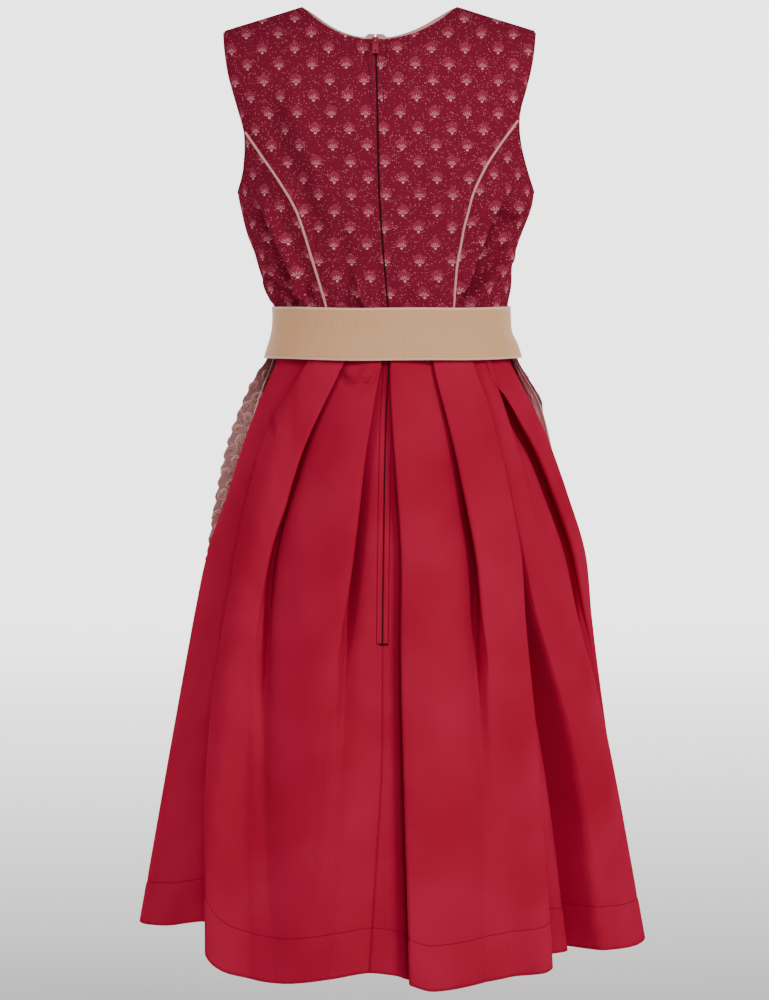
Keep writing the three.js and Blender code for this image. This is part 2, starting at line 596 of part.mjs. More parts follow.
// The level section of a stretch of skirt between two seams, as a list of flat points. The end
// points are drawn back by half the seam's gap.
function skirtSection(stretch, z, gapStart, gapEnd) {
  const base = skirtBase(z);
  const stations = stretch.map((row) => stationAt(row, z, base));
  const path = [];
  stations.forEach((station, i) => {
    const rate = arcRate(base, station.angle);
    let points = station.points;
    if (i === 0) points = [[gapStart, points[0][1]]];
    if (i === stations.length - 1) points = [[-gapEnd, points[0][1]]];
    for (const [along, out] of points) path.push({ angle: station.angle + along / rate, out });
    const next = stations[i + 1];
    if (!next) return;
    const from = path[path.length - 1];
    const first = next.points[0];
    const to = { angle: next.angle + first[0] / arcRate(base, next.angle), out: first[1] };
    const width = deg(to.angle - from.angle);
    const belly = atHeight(BELLY, z) * clamp(width / BELLY_WIDTH, 0, 1.2) ** 2;
    for (const u of PANEL_STEPS) {
      path.push({
        angle: lerp(from.angle, to.angle, u),
        out: lerp(from.out, to.out, smooth(u)) + belly * 4 * u * (1 - u),
      });
    }
  });
  return path.map(({ angle, out }) => ({ flat: skirtPoint(base, angle, out), angle }));
}

// Heights of the rows, as shares of the way from the waist to the hem.
const SKIRT_ROWS = [0, 0.05, 0.11, 0.18, 0.27, 0.385, 0.52, 0.67, 0.83, 1];

// A wall of skirt between two seams: its middle line is drawn at each height and given
// its thickness on both sides.
function skirtPiece(name, stretch, gapStart, gapEnd) {
  const outer = [];
  const inner = [];
  for (const share of SKIRT_ROWS) {
    const level = lerp(WAIST - SEAM, HEM, share);
    const section = skirtSection(stretch, level, gapStart(level), gapEnd(level));
    const outerRow = [];
    const innerRow = [];
    section.forEach(({ flat, angle }, i) => {
      const before = section[Math.max(i - 1, 0)].flat;
      const after = section[Math.min(i + 1, section.length - 1)].flat;
      const along = after.clone().sub(before).normalize();
      const z = lerp(WAIST - SEAM, hemHeight(deg(angle)), share);
      const toward = (distance) => new THREE.Vector3(flat.x - along.y * distance, flat.y + along.x * distance, z);
      outerRow.push(toward(WALL / 2));
      innerRow.push(toward(-WALL / 2));
    });
    outer.push(outerRow);
    inner.push(innerRow);
  }
  return wallMesh(name, outer, inner, TAFFETA);
}

// ---------------------------------------------------------------- zip tapes
// Each tape lies under one edge of the zip's slit, through bodice and skirt. Its rows are those
// of the panels over it, so it keeps its distance from them.
function zipTape(name, sign) {
  const outer = [];
  const inner = [];
  const tapeWall = 1;
  const addRow = (place) => {
    outer.push([place(0.2, 0), place(ZIP_TAPE, 0)]);
    inner.push([place(0.2, tapeWall), place(ZIP_TAPE, tapeWall)]);
  };
  const under = WALL + SEAM + 0.2;
  const shift = 2; // the skirt lies this much deeper at the waist seam
  const centreRows = PANEL_ROWS - NECK_ROWS;
  const bodiceRow = (z, deeper) => (distance, wall) => {
    const angle = centreAngle(z) + sign * distance / read(BODICE, 'half', z);
    return panelSkin(angle, z, -under - deeper - wall, false);
  };
  addRow(bodiceRow(NECK_BACK - 8, 0.7));
  for (let i = centreRows - 1; i > 0; i--) addRow(bodiceRow(lerp(WAIST, NECK_BACK, i / centreRows), 0));
  addRow(bodiceRow(WAIST + 3, shift));
  const centreRow = PLEATS.find((row) => row.name === 'centre_back');
  const skirtRow = (share) => (distance, wall) => {
    const level = lerp(WAIST - SEAM, HEM, share);
    const base = skirtBase(level);
    const angle = seamAngle(level, base) + sign * distance / base.half;
    const flat = skirtPoint(base, angle, atHeight(centreRow.step, level) - WALL / 2 - SEAM - 0.3 - wall);
    return new THREE.Vector3(flat.x, flat.y, lerp(WAIST - SEAM, hemHeight(deg(angle)), share));
  };
  const endShare = (WAIST - ZIP_END + 3) / (WAIST - HEM);
  const upper = SKIRT_ROWS.filter((share) => share < endShare);
  upper.forEach((share) => addRow(skirtRow(share)));
  const above = upper[upper.length - 1];
  const below = SKIRT_ROWS[upper.length];
  const part = (endShare - above) / (below - above);
  addRow((distance, wall) => skirtRow(above)(distance, wall).lerp(skirtRow(below)(distance, wall), part));
  return wallMesh(name, outer, inner, TAPE);
}

// ---------------------------------------------------------------- zip slider and pull
const wasm = await Module();
wasm.setup();

const SLIDER_Z = -47; // height of the slider's middle
const SLIDER_WIDTH = 8;
const SLIDER_LENGTH = 12;
const SLIDER_THICK = 2.2;
const BRIDGE_HEIGHT = 3.4;
const BRIDGE_WIDTH = 2.2;
const BRIDGE_LEG = 1.6;
const BRIDGE_SPAN = 4; // half length of the bridge
const PULL_WIDTH = 7.5;
const PULL_LENGTH = 19;
const PULL_THICK = 1.1;
const PULL_HOLE = [4.2, 4]; // width and length of the hole that the bridge passes through
const PULL_BAR = 1.2; // thickness of the bar over that hole
const PIVOT_ALONG = -1.5; // the bar's place in the bridge, along and out from the slider
const PIVOT_OUT = SLIDER_THICK + 1.05;

// A frame on the cloth: u runs up along the centre line, n points out of the cloth.
function sliderFrame() {
  const angle = centreAngle(SLIDER_Z);
  const place = panelSkin(angle, SLIDER_Z, SEAM, false);
  const step = 5;
  const up = panelSkin(angle, SLIDER_Z + step, 0, false).sub(panelSkin(angle, SLIDER_Z - step, 0, false));
  up.x = 0;
  up.normalize();
  const out = new THREE.Vector3(0, up.z, -up.y);
  const across = new THREE.Vector3(1, 0, 0);
  return new THREE.Matrix4().makeBasis(across.negate(), up, out).setPosition(place);
}

function toManifold(geometry) {
  const welded = weld(geometry);
  return new wasm.Manifold(new wasm.Mesh({
    numProp: 3,
    vertProperties: welded.points,
    triVerts: welded.faces,
  }));
}

// Shared corners joined, so that the solid is closed.
function weld(geometry) {
  const position = geometry.getAttribute('position');
  const seen = new Map();
  const points = [];
  const order = [];
  for (let i = 0; i < position.count; i++) {
    const corner = [position.getX(i), position.getY(i), position.getZ(i)];
    const key = corner.map((value) => Math.round(value * 1e4)).join();
    if (!seen.has(key)) {
      seen.set(key, points.length / 3);
      points.push(...corner);
    }
    order.push(seen.get(key));
  }
  const index = geometry.index ? [...geometry.index.array].map((i) => order[i]) : order;
  const faces = [];
  for (let i = 0; i < index.length; i += 3) {
    const [a, b, c] = index.slice(i, i + 3);
    if (a !== b && b !== c && c !== a) faces.push(a, b, c);
  }
  return { points: new Float32Array(points), faces: new Uint32Array(faces) };
}

function fromManifold(solid) {
  const { vertProperties, triVerts } = solid.getMesh();
  const geometry = new THREE.BufferGeometry();
  geometry.setAttribute('position', new THREE.BufferAttribute(vertProperties, 3));
  geometry.setIndex([...triVerts]);
  geometry.computeVertexNormals();
  return geometry;
}

// The slider: a flat body, wider at the top, with a bridge that holds the pull.
function zipSlider(frame) {
  const w = SLIDER_WIDTH / 2;
  const l = SLIDER_LENGTH / 2;
  const outline = new THREE.Shape();
  outline.moveTo(-w + 1.2, -l);
  outline.lineTo(w - 1.2, -l);
  outline.quadraticCurveTo(w - 0.6, -l * 0.2, w, l - 3);
  outline.quadraticCurveTo(w, l, 0, l);
  outline.quadraticCurveTo(-w, l, -w, l - 3);
  outline.quadraticCurveTo(-w + 0.6, -l * 0.2, -w + 1.2, -l);
  const body = new THREE.ExtrudeGeometry(outline, { depth: SLIDER_THICK, bevelEnabled: false, curveSegments: 4 });
  const arch = new THREE.Shape();
  const s = BRIDGE_SPAN;
  arch.moveTo(-s, -0.4);
  arch.quadraticCurveTo(-s, BRIDGE_HEIGHT, -s + 2.4, BRIDGE_HEIGHT);
  arch.lineTo(s - 2.4, BRIDGE_HEIGHT);
  arch.quadraticCurveTo(s, BRIDGE_HEIGHT, s, -0.4);
  arch.lineTo(s - BRIDGE_LEG, -0.4);
  arch.lineTo(s - BRIDGE_LEG, BRIDGE_HEIGHT - 1.2);
  arch.lineTo(-s + BRIDGE_LEG, BRIDGE_HEIGHT - 1.2);
  arch.lineTo(-s + BRIDGE_LEG, -0.4);
  arch.lineTo(-s, -0.4);
  const bridge = new THREE.ExtrudeGeometry(arch, { depth: BRIDGE_WIDTH, bevelEnabled: false, curveSegments: 4 });
  bridge.translate(0, 0, -BRIDGE_WIDTH / 2);
  bridge.applyMatrix4(new THREE.Matrix4().set(
    0, 0, -1, 0,
    1, 0, 0, 0,
    0, 1, 0, SLIDER_THICK,
    0, 0, 0, 1,
  ));
  const joined = toManifold(body).add(toManifold(bridge));
  const mesh = new THREE.Mesh(fromManifold(joined), ZIP_METAL);
  mesh.name = 'zip_slider';
  mesh.applyMatrix4(frame);
  return mesh;
}

// The pull tab hangs from the bridge by the bar over its hole.
function zipPull(frame) {
  const w = PULL_WIDTH / 2;
  const top = PULL_BAR / 2;
  const low = top - PULL_LENGTH;
  const outline = new THREE.Shape();
  outline.moveTo(-w * 0.75, low);
  outline.lineTo(w * 0.75, low);
  outline.quadraticCurveTo(w, low, w, low + 3);
  outline.lineTo(w * 0.86, top - 2);
  outline.quadraticCurveTo(w * 0.86, top, w * 0.5, top);
  outline.lineTo(-w * 0.5, top);
  outline.quadraticCurveTo(-w * 0.86, top, -w * 0.86, top - 2);
  outline.lineTo(-w, low + 3);
  outline.quadraticCurveTo(-w, low, -w * 0.75, low);
  const [holeWidth, holeLength] = PULL_HOLE;
  const hole = new THREE.Path();
  hole.moveTo(-holeWidth / 2, -PULL_BAR / 2);
  hole.lineTo(holeWidth / 2, -PULL_BAR / 2);
  hole.lineTo(holeWidth / 2, -PULL_BAR / 2 - holeLength);
  hole.lineTo(-holeWidth / 2, -PULL_BAR / 2 - holeLength);
  hole.lineTo(-holeWidth / 2, -PULL_BAR / 2);
  outline.holes.push(hole);
  const eye = new THREE.Path();
  eye.absarc(0, low + 3.6, 1.3, 0, 2 * Math.PI, true);
  outline.holes.push(eye);
  const plate = new THREE.ExtrudeGeometry(outline, { depth: PULL_THICK, bevelEnabled: false, curveSegments: 4 });
  plate.translate(0, PIVOT_ALONG, PIVOT_OUT - PULL_THICK / 2);
  const mesh = new THREE.Mesh(plate, ZIP_METAL);
  mesh.name = 'zip_pull';
  mesh.applyMatrix4(frame);
  return mesh;
}

// ---------------------------------------------------------------- the sash
function sashPoint(angle, z, out) {
  const base = {
    half: read(SASH, 'half', z), mid: read(SASH, 'mid', z),
    back: read(SASH, 'back', z), front: read(SASH, 'front', z),
  };
  const flat = skirtPoint(base, angle, out);
  return new THREE.Vector3(flat.x, flat.y, z);
}

// A ribbon once round the waist. Its two ends lap at the middle of the front: the upper end
// lies on the lower one.
function sash(name) {
  const steps = 54;
  const rows = 3;
  const lapAngle = SASH_LAP / 2 / read(SASH, 'half', WAIST);
  const outer = [];
  const inner = [];
  for (let r = 0; r <= rows; r++) {
    const z = lerp(SASH_BOTTOM, SASH_TOP, r / rows);
    const outerRow = [];
    const innerRow = [];
    for (let i = 0; i <= steps; i++) {
      const t = i / steps;
      const angle = lerp(-Math.PI - lapAngle, Math.PI + lapAngle, t);
      const lift = (WALL + SEAM) * smooth(clamp((angle - (Math.PI - 2.4 * lapAngle)) / (1.2 * lapAngle), 0, 1));
      outerRow.push(sashPoint(angle, z, lift));
      innerRow.push(sashPoint(angle, z, lift - WALL));
    }
    outer.push(outerRow);
    inner.push(innerRow);
  }
  return wallMesh(name, outer, inner, RIBBON);
}

// ---------------------------------------------------------------- the apron
// A layer of the apron, moved out from the skirt's plain form by its clearance and its gathers.
// The lace reaches past the lining on both sides, and curls out on the left.
function apronLayer(name, material, lift, wall, isLace) {
  const rows = 8;
  const cols = 36;
  const shares = Array.from({ length: cols + 1 }, (_, c) => c / cols);
  const outer = [];
  const inner = [];
  for (let r = 0; r <= rows; r++) {
    const z = lerp(WAIST + 2, APRON_HEM, (r / rows) ** 1.25);
    const base = skirtBase(z);
    const edgeLeft = rad(read(APRON, 'left', z));
    const edgeRight = rad(read(APRON, 'right', z));
    const clear = read(APRON, 'clear', z);
    const gather = read(APRON, 'gather', z);
    const curl = read(APRON, 'curl', z);
    const beyond = 1 / (base.half * (edgeRight - edgeLeft));
    const places = isLace
      ? [-LACE_LEFT * beyond, -0.5 * LACE_LEFT * beyond, ...shares, 1 + LACE_RIGHT * beyond]
      : shares;
    const line = (out) => places.map((t) => {
      const wave = gather * (0.5 - 0.5 * Math.cos(2 * Math.PI * GATHERS * t));
      const past = Math.max(-t, 0) / (LACE_LEFT * beyond);
      const flat = skirtPoint(base, lerp(edgeLeft, edgeRight, t), clear + wave + curl * past + lift + out);
      return new THREE.Vector3(flat.x, flat.y, z);
    });
    outer.push(line(wall));
    inner.push(line(0));
  }
  return wallMesh(name, outer, inner, material);
}

// ---------------------------------------------------------------- the dress
const dress = new THREE.Group();

dress.add(centrePanel('back_left', 1, PRINCESS.backLeft, ARMHOLE.backLeft, false));
dress.add(centrePanel('back_right', -1, PRINCESS.backRight, ARMHOLE.backRight, false));
dress.add(sidePanel('side_back_left', 1, PRINCESS.backLeft, ARMHOLE.backLeft, false));
dress.add(sidePanel('side_back_right', -1, PRINCESS.backRight, ARMHOLE.backRight, false));
dress.add(centrePanel('front_left', 1, PRINCESS.front, ARMHOLE.front, true));
dress.add(centrePanel('front_right', -1, PRINCESS.front, ARMHOLE.front, true));
dress.add(sidePanel('side_front_left', 1, PRINCESS.front, ARMHOLE.front, true));
dress.add(sidePanel('side_front_right', -1, PRINCESS.front, ARMHOLE.front, true));
dress.add(piping('piping_left', 1, PRINCESS.backLeft));
dress.add(piping('piping_right', -1, PRINCESS.backRight));
dress.add(armholeBinding('armhole_binding_left', 1, ARMHOLE.backLeft, ARMHOLE.front));
dress.add(armholeBinding('armhole_binding_right', -1, ARMHOLE.backRight, ARMHOLE.front));
dress.add(neckFacing('neck_facing'));

const zipGap = (z) => (z > ZIP_END ? ZIP_OPENING / 2 - 0.2 : SEAM / 2 + 0.05);
const sideGap = () => SEAM / 2 + 0.05;
const indexOf = (name) => PLEATS.findIndex((row) => row.name === name);
const centre = indexOf('centre_back');
const leftSeam = indexOf('left_seam');
const rightPleats = PLEATS.slice(1, centre + 1);
const turnedBack = (row) => ({ ...row, angle: row.angle.map((value) => value + 360) });
dress.add(skirtPiece('skirt_back_right', [RIGHT_SEAM, ...rightPleats], sideGap, zipGap));
dress.add(skirtPiece('skirt_back_left', PLEATS.slice(centre, leftSeam + 1), zipGap, sideGap));
dress.add(skirtPiece('skirt_front', [...PLEATS.slice(leftSeam), turnedBack(PLEATS[0]), turnedBack(RIGHT_SEAM)], sideGap, sideGap));
dress.add(zipTape('zip_tape_left', 1));
dress.add(zipTape('zip_tape_right', -1));

const frame = sliderFrame();
dress.add(zipSlider(frame));
dress.add(zipPull(frame));

dress.add(apronLayer('apron_lining', ROSE_SATIN, 0, WALL, false));
dress.add(apronLayer('apron_lace', LACE, WALL + SEAM, LACE_WALL, true));
dress.add(sash('sash'));

export default dress;
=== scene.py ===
# A sleeveless dirndl, finished as it is worn: bodice, skirt, apron and sash, piece by piece in the order
# in which a dressmaker puts them together. Working lengths are in millimetres, +Z up, the back faces +Y.
import math

import bmesh
import bpy
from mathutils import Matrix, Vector, noise


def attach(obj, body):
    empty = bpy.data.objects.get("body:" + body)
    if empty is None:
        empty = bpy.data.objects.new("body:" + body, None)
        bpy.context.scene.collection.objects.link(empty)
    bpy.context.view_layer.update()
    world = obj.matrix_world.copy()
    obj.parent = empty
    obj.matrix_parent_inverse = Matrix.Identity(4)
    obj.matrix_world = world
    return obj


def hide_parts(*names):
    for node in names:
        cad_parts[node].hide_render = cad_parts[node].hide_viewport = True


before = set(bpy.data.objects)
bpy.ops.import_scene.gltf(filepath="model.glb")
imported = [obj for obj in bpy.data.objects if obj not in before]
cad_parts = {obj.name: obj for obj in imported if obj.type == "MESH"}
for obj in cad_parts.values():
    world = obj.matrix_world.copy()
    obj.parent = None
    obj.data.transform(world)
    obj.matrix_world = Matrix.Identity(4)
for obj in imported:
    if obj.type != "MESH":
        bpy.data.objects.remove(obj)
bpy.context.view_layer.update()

# ---------------------------------------------------------------- camera, floor and light
# The dress is looked at from behind, from 3.5 m away, a little above its middle. It hangs at the height
# at which it is worn, so the pale studio floor lies under the hem. Large soft lights stand round it.
camera_data = bpy.data.cameras.new("camera")
camera_data.sensor_fit = "VERTICAL"
camera_data.sensor_height = 24
camera_data.lens = 70.01
camera = bpy.data.objects.new("camera", camera_data)
camera.location = (-0.0058, 3.5, -0.302)
camera.rotation_euler = (math.radians(85.336), 0, math.radians(180))
bpy.context.scene.collection.objects.link(camera)
bpy.context.scene.camera = camera


def hex_colour(code):
    """An sRGB hex colour as linear red, green, blue and alpha."""
    parts = [int(code[i:i + 2], 16) / 255 for i in (1, 3, 5)]
    return (*[p / 12.92 if p <= 0.04045 else ((p + 0.055) / 1.055) ** 2.4 for p in parts], 1)


def add(tree, kind, inputs=None, **settings):
    """Adds a node, sets it and links it, and gives its first output."""
    node = tree.nodes.new(kind)
    for key, value in settings.items():
        setattr(node, key, value)
    for key, value in (inputs or {}).items():
        if isinstance(value, bpy.types.NodeSocket):
            tree.links.new(value, node.inputs[key])
        else:
            node.inputs[key].default_value = value
    return node.outputs[0] if node.outputs else None


def new_material(name):
    """A material with an empty node tree."""
    material = bpy.data.materials.new(name)
    material.use_nodes = True
    material.node_tree.nodes.clear()
    return material, material.node_tree


floor_paint, tree = new_material("floor_paint")
# White matt paper with a painted glow: its emission grows from 0.16 near the dress to 2.6 on the far wall
# beyond the dress's front, so the backdrop seen past the dress looks near white and lights the dress's
# front as a fill.
back = add(tree, "ShaderNodeSeparateXYZ", {0: add(tree, "ShaderNodeTexCoord").node.outputs["Object"]}).node
glow = add(tree, "ShaderNodeMapRange", {0: back.outputs[1], 1: -0.5, 2: -5.5, 3: 0.16, 4: 2.6})
add(tree, "ShaderNodeOutputMaterial", {0: add(tree, "ShaderNodeBsdfPrincipled", {
    "Base Color": hex_colour("#B4B2B0"), "Roughness": 0.9, "Emission Color": hex_colour("#FFFFFF"),
    "Emission Strength": glow})})
FLOOR, ROOM, BEND = -1.40, 6.6, 1.6
sweep = bmesh.new()
bmesh.ops.create_grid(sweep, x_segments=96, y_segments=24, size=0.5)
for v in sweep.verts:
    # A round floor whose rim turns up into a wall all round, so it is pale from every side.
    turn, run = 2 * math.pi * (v.co.x + 0.5), (v.co.y + 0.5) * (ROOM + 3.2)
    bend = min(max(run - ROOM + BEND, 0) / BEND, math.pi / 2)
    out = min(run, ROOM - BEND) + BEND * math.sin(bend)
    rise = BEND * (1 - math.cos(bend)) + max(run - ROOM + BEND - BEND * math.pi / 2, 0) * 1.5
    v.co = (out * math.cos(turn), out * math.sin(turn), FLOOR + rise)
bmesh.ops.remove_doubles(sweep, verts=sweep.verts, dist=1e-5)
bmesh.ops.recalc_face_normals(sweep, faces=sweep.faces)
floor_mesh = bpy.data.meshes.new("floor")
sweep.to_mesh(floor_mesh)
sweep.free()
floor_mesh.shade_smooth()
floor_mesh.materials.append(floor_paint)
floor = bpy.data.objects.new("floor", floor_mesh)
bpy.context.scene.collection.objects.link(floor)

for name, place, aim, size, watts in (
    ("key_right", (-2.6, 2.8, 1.3), (0, 0, -0.55), 1.1, 76),
    ("key_left", (2.7, 2.7, 1.3), (0, 0, -0.55), 1.1, 31),
    ("key_middle", (-0.5, 3.8, 1.6), (0, 0, -0.5), 1.2, 48),
    ("front_fill", (0.4, -3.2, 0.9), (0, 0, -0.5), 2.0, 24),
):
    light = bpy.data.lights.new(name, "AREA")
    light.energy = watts
    light.size = size
    lamp = bpy.data.objects.new(name, light)
    lamp.location = place
    lamp.rotation_euler = (Vector(aim) - Vector(place)).to_track_quat("-Z", "Y").to_euler()
    bpy.context.scene.collection.objects.link(lamp)
world = bpy.data.worlds.new("studio")
world.use_nodes = True
world.node_tree.nodes["Background"].inputs[0].default_value = (1, 1, 1, 1)
world.node_tree.nodes["Background"].inputs[1].default_value = 0.05
bpy.context.scene.world = world

# ---------------------------------------------------------------- bodice panels
# Eight panels of patterned jacquard, four behind and four in front, sewn at the centre, the princess
# seams, the sides and the shoulders. The body fills them, and the cloth drags from the arms to the waist.
WALL = 1.2
SEAM = 0.3
WAIST = -386
UNDERARM = -221
NECK_HALF, NECK_BACK, NECK_FRONT, SCOOP = 92, -43.2, -150, 0.76
SHOULDER_HALF, SHOULDER_DROP, SHOULDER_ROUND = 184, 28, 70
ZIP_OPENING = 2


def columns(names, *rows):
    """A table: the rows in growing order of their first column, kept by column name."""
    rows = sorted(rows)
    return {name: [row[i] for row in rows] for i, name in enumerate(names)}


def read(table, column, at, along="z"):
    """A smooth curve through one column of a table, read at a place along another."""
    places, values = table[along], table[column]
    if at <= places[0]:
        return values[0]
    if at >= places[-1]:
        return values[-1]
    i = next(k for k, place in enumerate(places) if place > at) - 1
    slopes = []
    for k in (i, i + 1):
        low, high = max(k - 1, 0), min(k + 1, len(places) - 1)
        slopes.append((values[high] - values[low]) / (places[high] - places[low]))
    span = places[i + 1] - places[i]
    t = (at - places[i]) / span
    return ((2 * t**3 - 3 * t**2 + 1) * values[i] + (t**3 - 2 * t**2 + t) * span * slopes[0]
            + (3 * t**2 - 2 * t**3) * values[i + 1] + (t**3 - t**2) * span * slopes[1])


def lerp(a, b, t):
    return a + (b - a) * t


def clamp(x, low=0.0, high=1.0):
    return min(max(x, low), high)


def smooth(t):
    t = clamp(t)
    return t * t * (3 - 2 * t)


BODICE = columns(
    ("z", "half", "mid", "back", "front"),
    (10, 214, 0, 58, 56), (-25, 213, 0, 70, 68), (-50, 212, -0.5, 80, 80), (-80, 208, -1.5, 92, 92),
    (-114, 198.5, -3, 104, 106), (-150, 186, -5, 111, 119), (-180, 179, -6, 114, 128),
    (-200, 176.5, -7, 115, 131), (-221, 176.5, -7.5, 115, 132), (-240, 173, -7.5, 113, 130),
    (-270, 163.5, -5.5, 108, 122), (-300, 152.5, -6.5, 102, 111), (-330, 147, -10.5, 97, 102),
    (-355, 139, -14, 92, 95), (-386, 136, -15, 89, 92),
)
CENTRE_BACK = columns(
    ("z", "x"),
    (10, 5.5), (-38, 5), (-104, 3), (-162, 2), (-231, 0), (-288, -4), (-362, -10), (-418, -11),
    (-493, -7), (-575, -5), (-735, -3), (-871, -2), (-966, 4), (-1098, 13), (-1120, 14),
)
PRINCESS = {
    "back_left": columns(("z", "x"), (-148, 163.5), (-182, 141), (-213, 121), (-239, 106), (-266, 94),
                         (-294, 86), (-321, 81), (-357, 76), (-386, 73)),
    "back_right": columns(("z", "x"), (-135, 158.5), (-164, 136), (-193, 116), (-223, 101), (-252, 94),
                          (-282, 89), (-311, 82), (-357, 72), (-386, 67)),
    "front": columns(("z", "x"), (-130, 156), (-165, 125), (-200, 102), (-240, 88), (-290, 76),
                     (-340, 67), (-386, 62)),
}
ARMHOLE = {
    "back_left": columns(("z", "x"), (-28, 184), (-53, 182), (-83, 178), (-118, 170), (-148, 163.5),
                         (-171, 163.5), (-194, 167), (-211, 172.5), (-221, 176.5)),
    "back_right": columns(("z", "x"), (-28, 184), (-65, 178), (-95, 170), (-119, 162), (-135, 158.5),
                          (-156, 158.5), (-182, 163.5), (-205, 170.5), (-221, 176.5)),
    "front": columns(("z", "x"), (-28, 184), (-60, 176), (-95, 164), (-130, 156), (-160, 154.5),
                     (-190, 160.5), (-209, 169), (-221, 176.5)),
}


def bodice_point(angle, z):
    """A point of the bodice's outside, at an angle round the body (0 back, 90 left) and a height."""
    x = read(BODICE, "half", z) * math.sin(angle)
    depth = read(BODICE, "back" if math.cos(angle) > 0 else "front", z)
    shoulder = -SHOULDER_DROP * max(0, abs(x) - NECK_HALF) / (SHOULDER_HALF - NECK_HALF)
    under = clamp((shoulder - z) / SHOULDER_ROUND)
    rounding = math.sqrt(1 - (1 - under) ** 2)
    return Vector((read(BODICE, "mid", z) + x, depth * math.cos(angle) * rounding, z))


def outward(form, angle, z):
    """The direction out of a form at an angle and a height, from two small steps along it."""
    across = form(angle + 0.004, z) - form(angle - 0.004, z)
    up = form(angle, z) - form(angle, z - 0.8)
    return up.cross(across).normalized()


def panel_skin(angle, z, out, front):
    """A bodice point moved out. Back and front are drawn half a seam apart."""
    p = bodice_point(angle, z) + outward(bodice_point, angle, z) * out
    p.y += (-1 if front else 1) * (SEAM / 2 + 0.05)
    return p


def angle_of(x, z):
    return math.asin(clamp(x / read(BODICE, "half", z), -1, 1))


def centre_angle(z):
    return angle_of(read(CENTRE_BACK, "x", z) - read(BODICE, "mid", z), z)


ARC_STEPS = 90
arcs = {}


def arc(angle, z):
    """Length round the bodice from the middle of the back to an angle."""
    z = round(z / 2) * 2
    if z not in arcs:
        half = read(BODICE, "half", z)
        depths = read(BODICE, "back", z), read(BODICE, "front", z)
        step = math.pi / ARC_STEPS
        total = [0.0]
        for i in range(ARC_STEPS):
            a = (i + 0.5) * step
            depth = depths[0] if a < math.pi / 2 else depths[1]
            total.append(total[-1] + math.hypot(half * math.cos(a), depth * math.sin(a)) * step)
        arcs[z] = total
    place = abs(angle) / math.pi * ARC_STEPS
    i = min(int(place), ARC_STEPS - 1)
    return math.copysign(lerp(arcs[z][i], arcs[z][i + 1], place - i), angle)


# Folds that the cloth makes by itself. Each runs along a line of (x, z) points and has a width and a
# height: "roll" is a soft ridge, "fold" a ridge with a groove along the side that its sign picks.
BACK_CREASES = (
    ("fold", ((146, -226), (137, -240), (128, -262), (119, -283), (111, -301), (104, -316), (94, -347),
              (88, -372)), 11, 10.9),
    ("roll", ((152, -236), (138, -262), (128, -290)), 10, -5.8),
    ("fold", ((158, -251), (144, -254), (136, -258)), 5, 4.9),
    ("fold", ((140, -305), (133, -311), (123, -321), (111, -333), (98, -341)), 9, 8.7),
    ("roll", ((122, -342), (108, -368), (98, -386)), 8, -5.8),
    ("roll", ((150, -318), (128, -345), (112, -366)), 9, 4.3),
    ("fold", ((-158, -210), (-142, -234), (-135, -247), (-127, -268), (-119, -291), (-112, -314),
              (-100, -336), (-90, -360)), -12, 11.6),
    ("roll", ((-150, -238), (-138, -266), (-128, -292), (-116, -316)), 12, -10.2),
    ("roll", ((-176, -228), (-166, -238), (-154, -246)), 6, 7.2),
    ("fold", ((-158, -284), (-142, -302), (-127, -319), (-116, -334), (-100, -348)), 9, 10.2),
    ("roll", ((-146, -302), (-142, -325), (-137, -350), (-134, -386)), 4, 4.3),
    ("roll", ((-130, -330), (-122, -360), (-118, -386)), 5, 3.6),
    ("fold", ((86, -318), (77, -344), (69, -362), (64, -386)), 6, 6.1),
    ("fold", ((32, -318), (24, -344), (16, -362), (10, -386)), 6, 6.1),
    ("roll", ((46, -245), (38, -335), (34, -386)), 9, -4.3),
    ("roll", ((84, -255), (80, -300), (76, -345)), 7, -3.8),
    ("roll", ((132, -105), (118, -155), (96, -206), (68, -275)), 13, -6.1),
    ("roll", ((108, -92), (96, -140), (74, -195)), 15, 3.8),
    ("roll", ((-128, -98), (-112, -140), (-92, -190), (-76, -235)), 13, -4.9),
    ("roll", ((-44, -160), (-42, -262)), 10, -4.1),
    ("roll", ((-30, -330), (-34, -386)), 8, -3.8),
    ("roll", ((-62, -310), (-58, -386)), 8, 3.5),
)
FRONT_CREASES = (
    ("fold", ((150, -232), (126, -262), (104, -300), (92, -345), (84, -384)), 12, 4),
    ("fold", ((-154, -236), (-128, -268), (-108, -306), (-94, -350), (-84, -384)), -12, 4),
    ("roll", ((160, -285), (138, -312), (116, -345), (98, -384)), 9, 3),
    ("roll", ((-160, -280), (-136, -310), (-118, -345), (-104, -384)), 9, 3),
    ("roll", ((40, -330), (32, -386)), 9, 2),
    ("roll", ((-36, -336), (-30, -386)), 9, 2),
    ("fold", ((-10, -345), (-8, -386)), 7, 1.6),
    ("roll", ((96, -120), (80, -190)), 22, 2.5),
    ("roll", ((-96, -120), (-80, -190)), 22, 2.5),
)


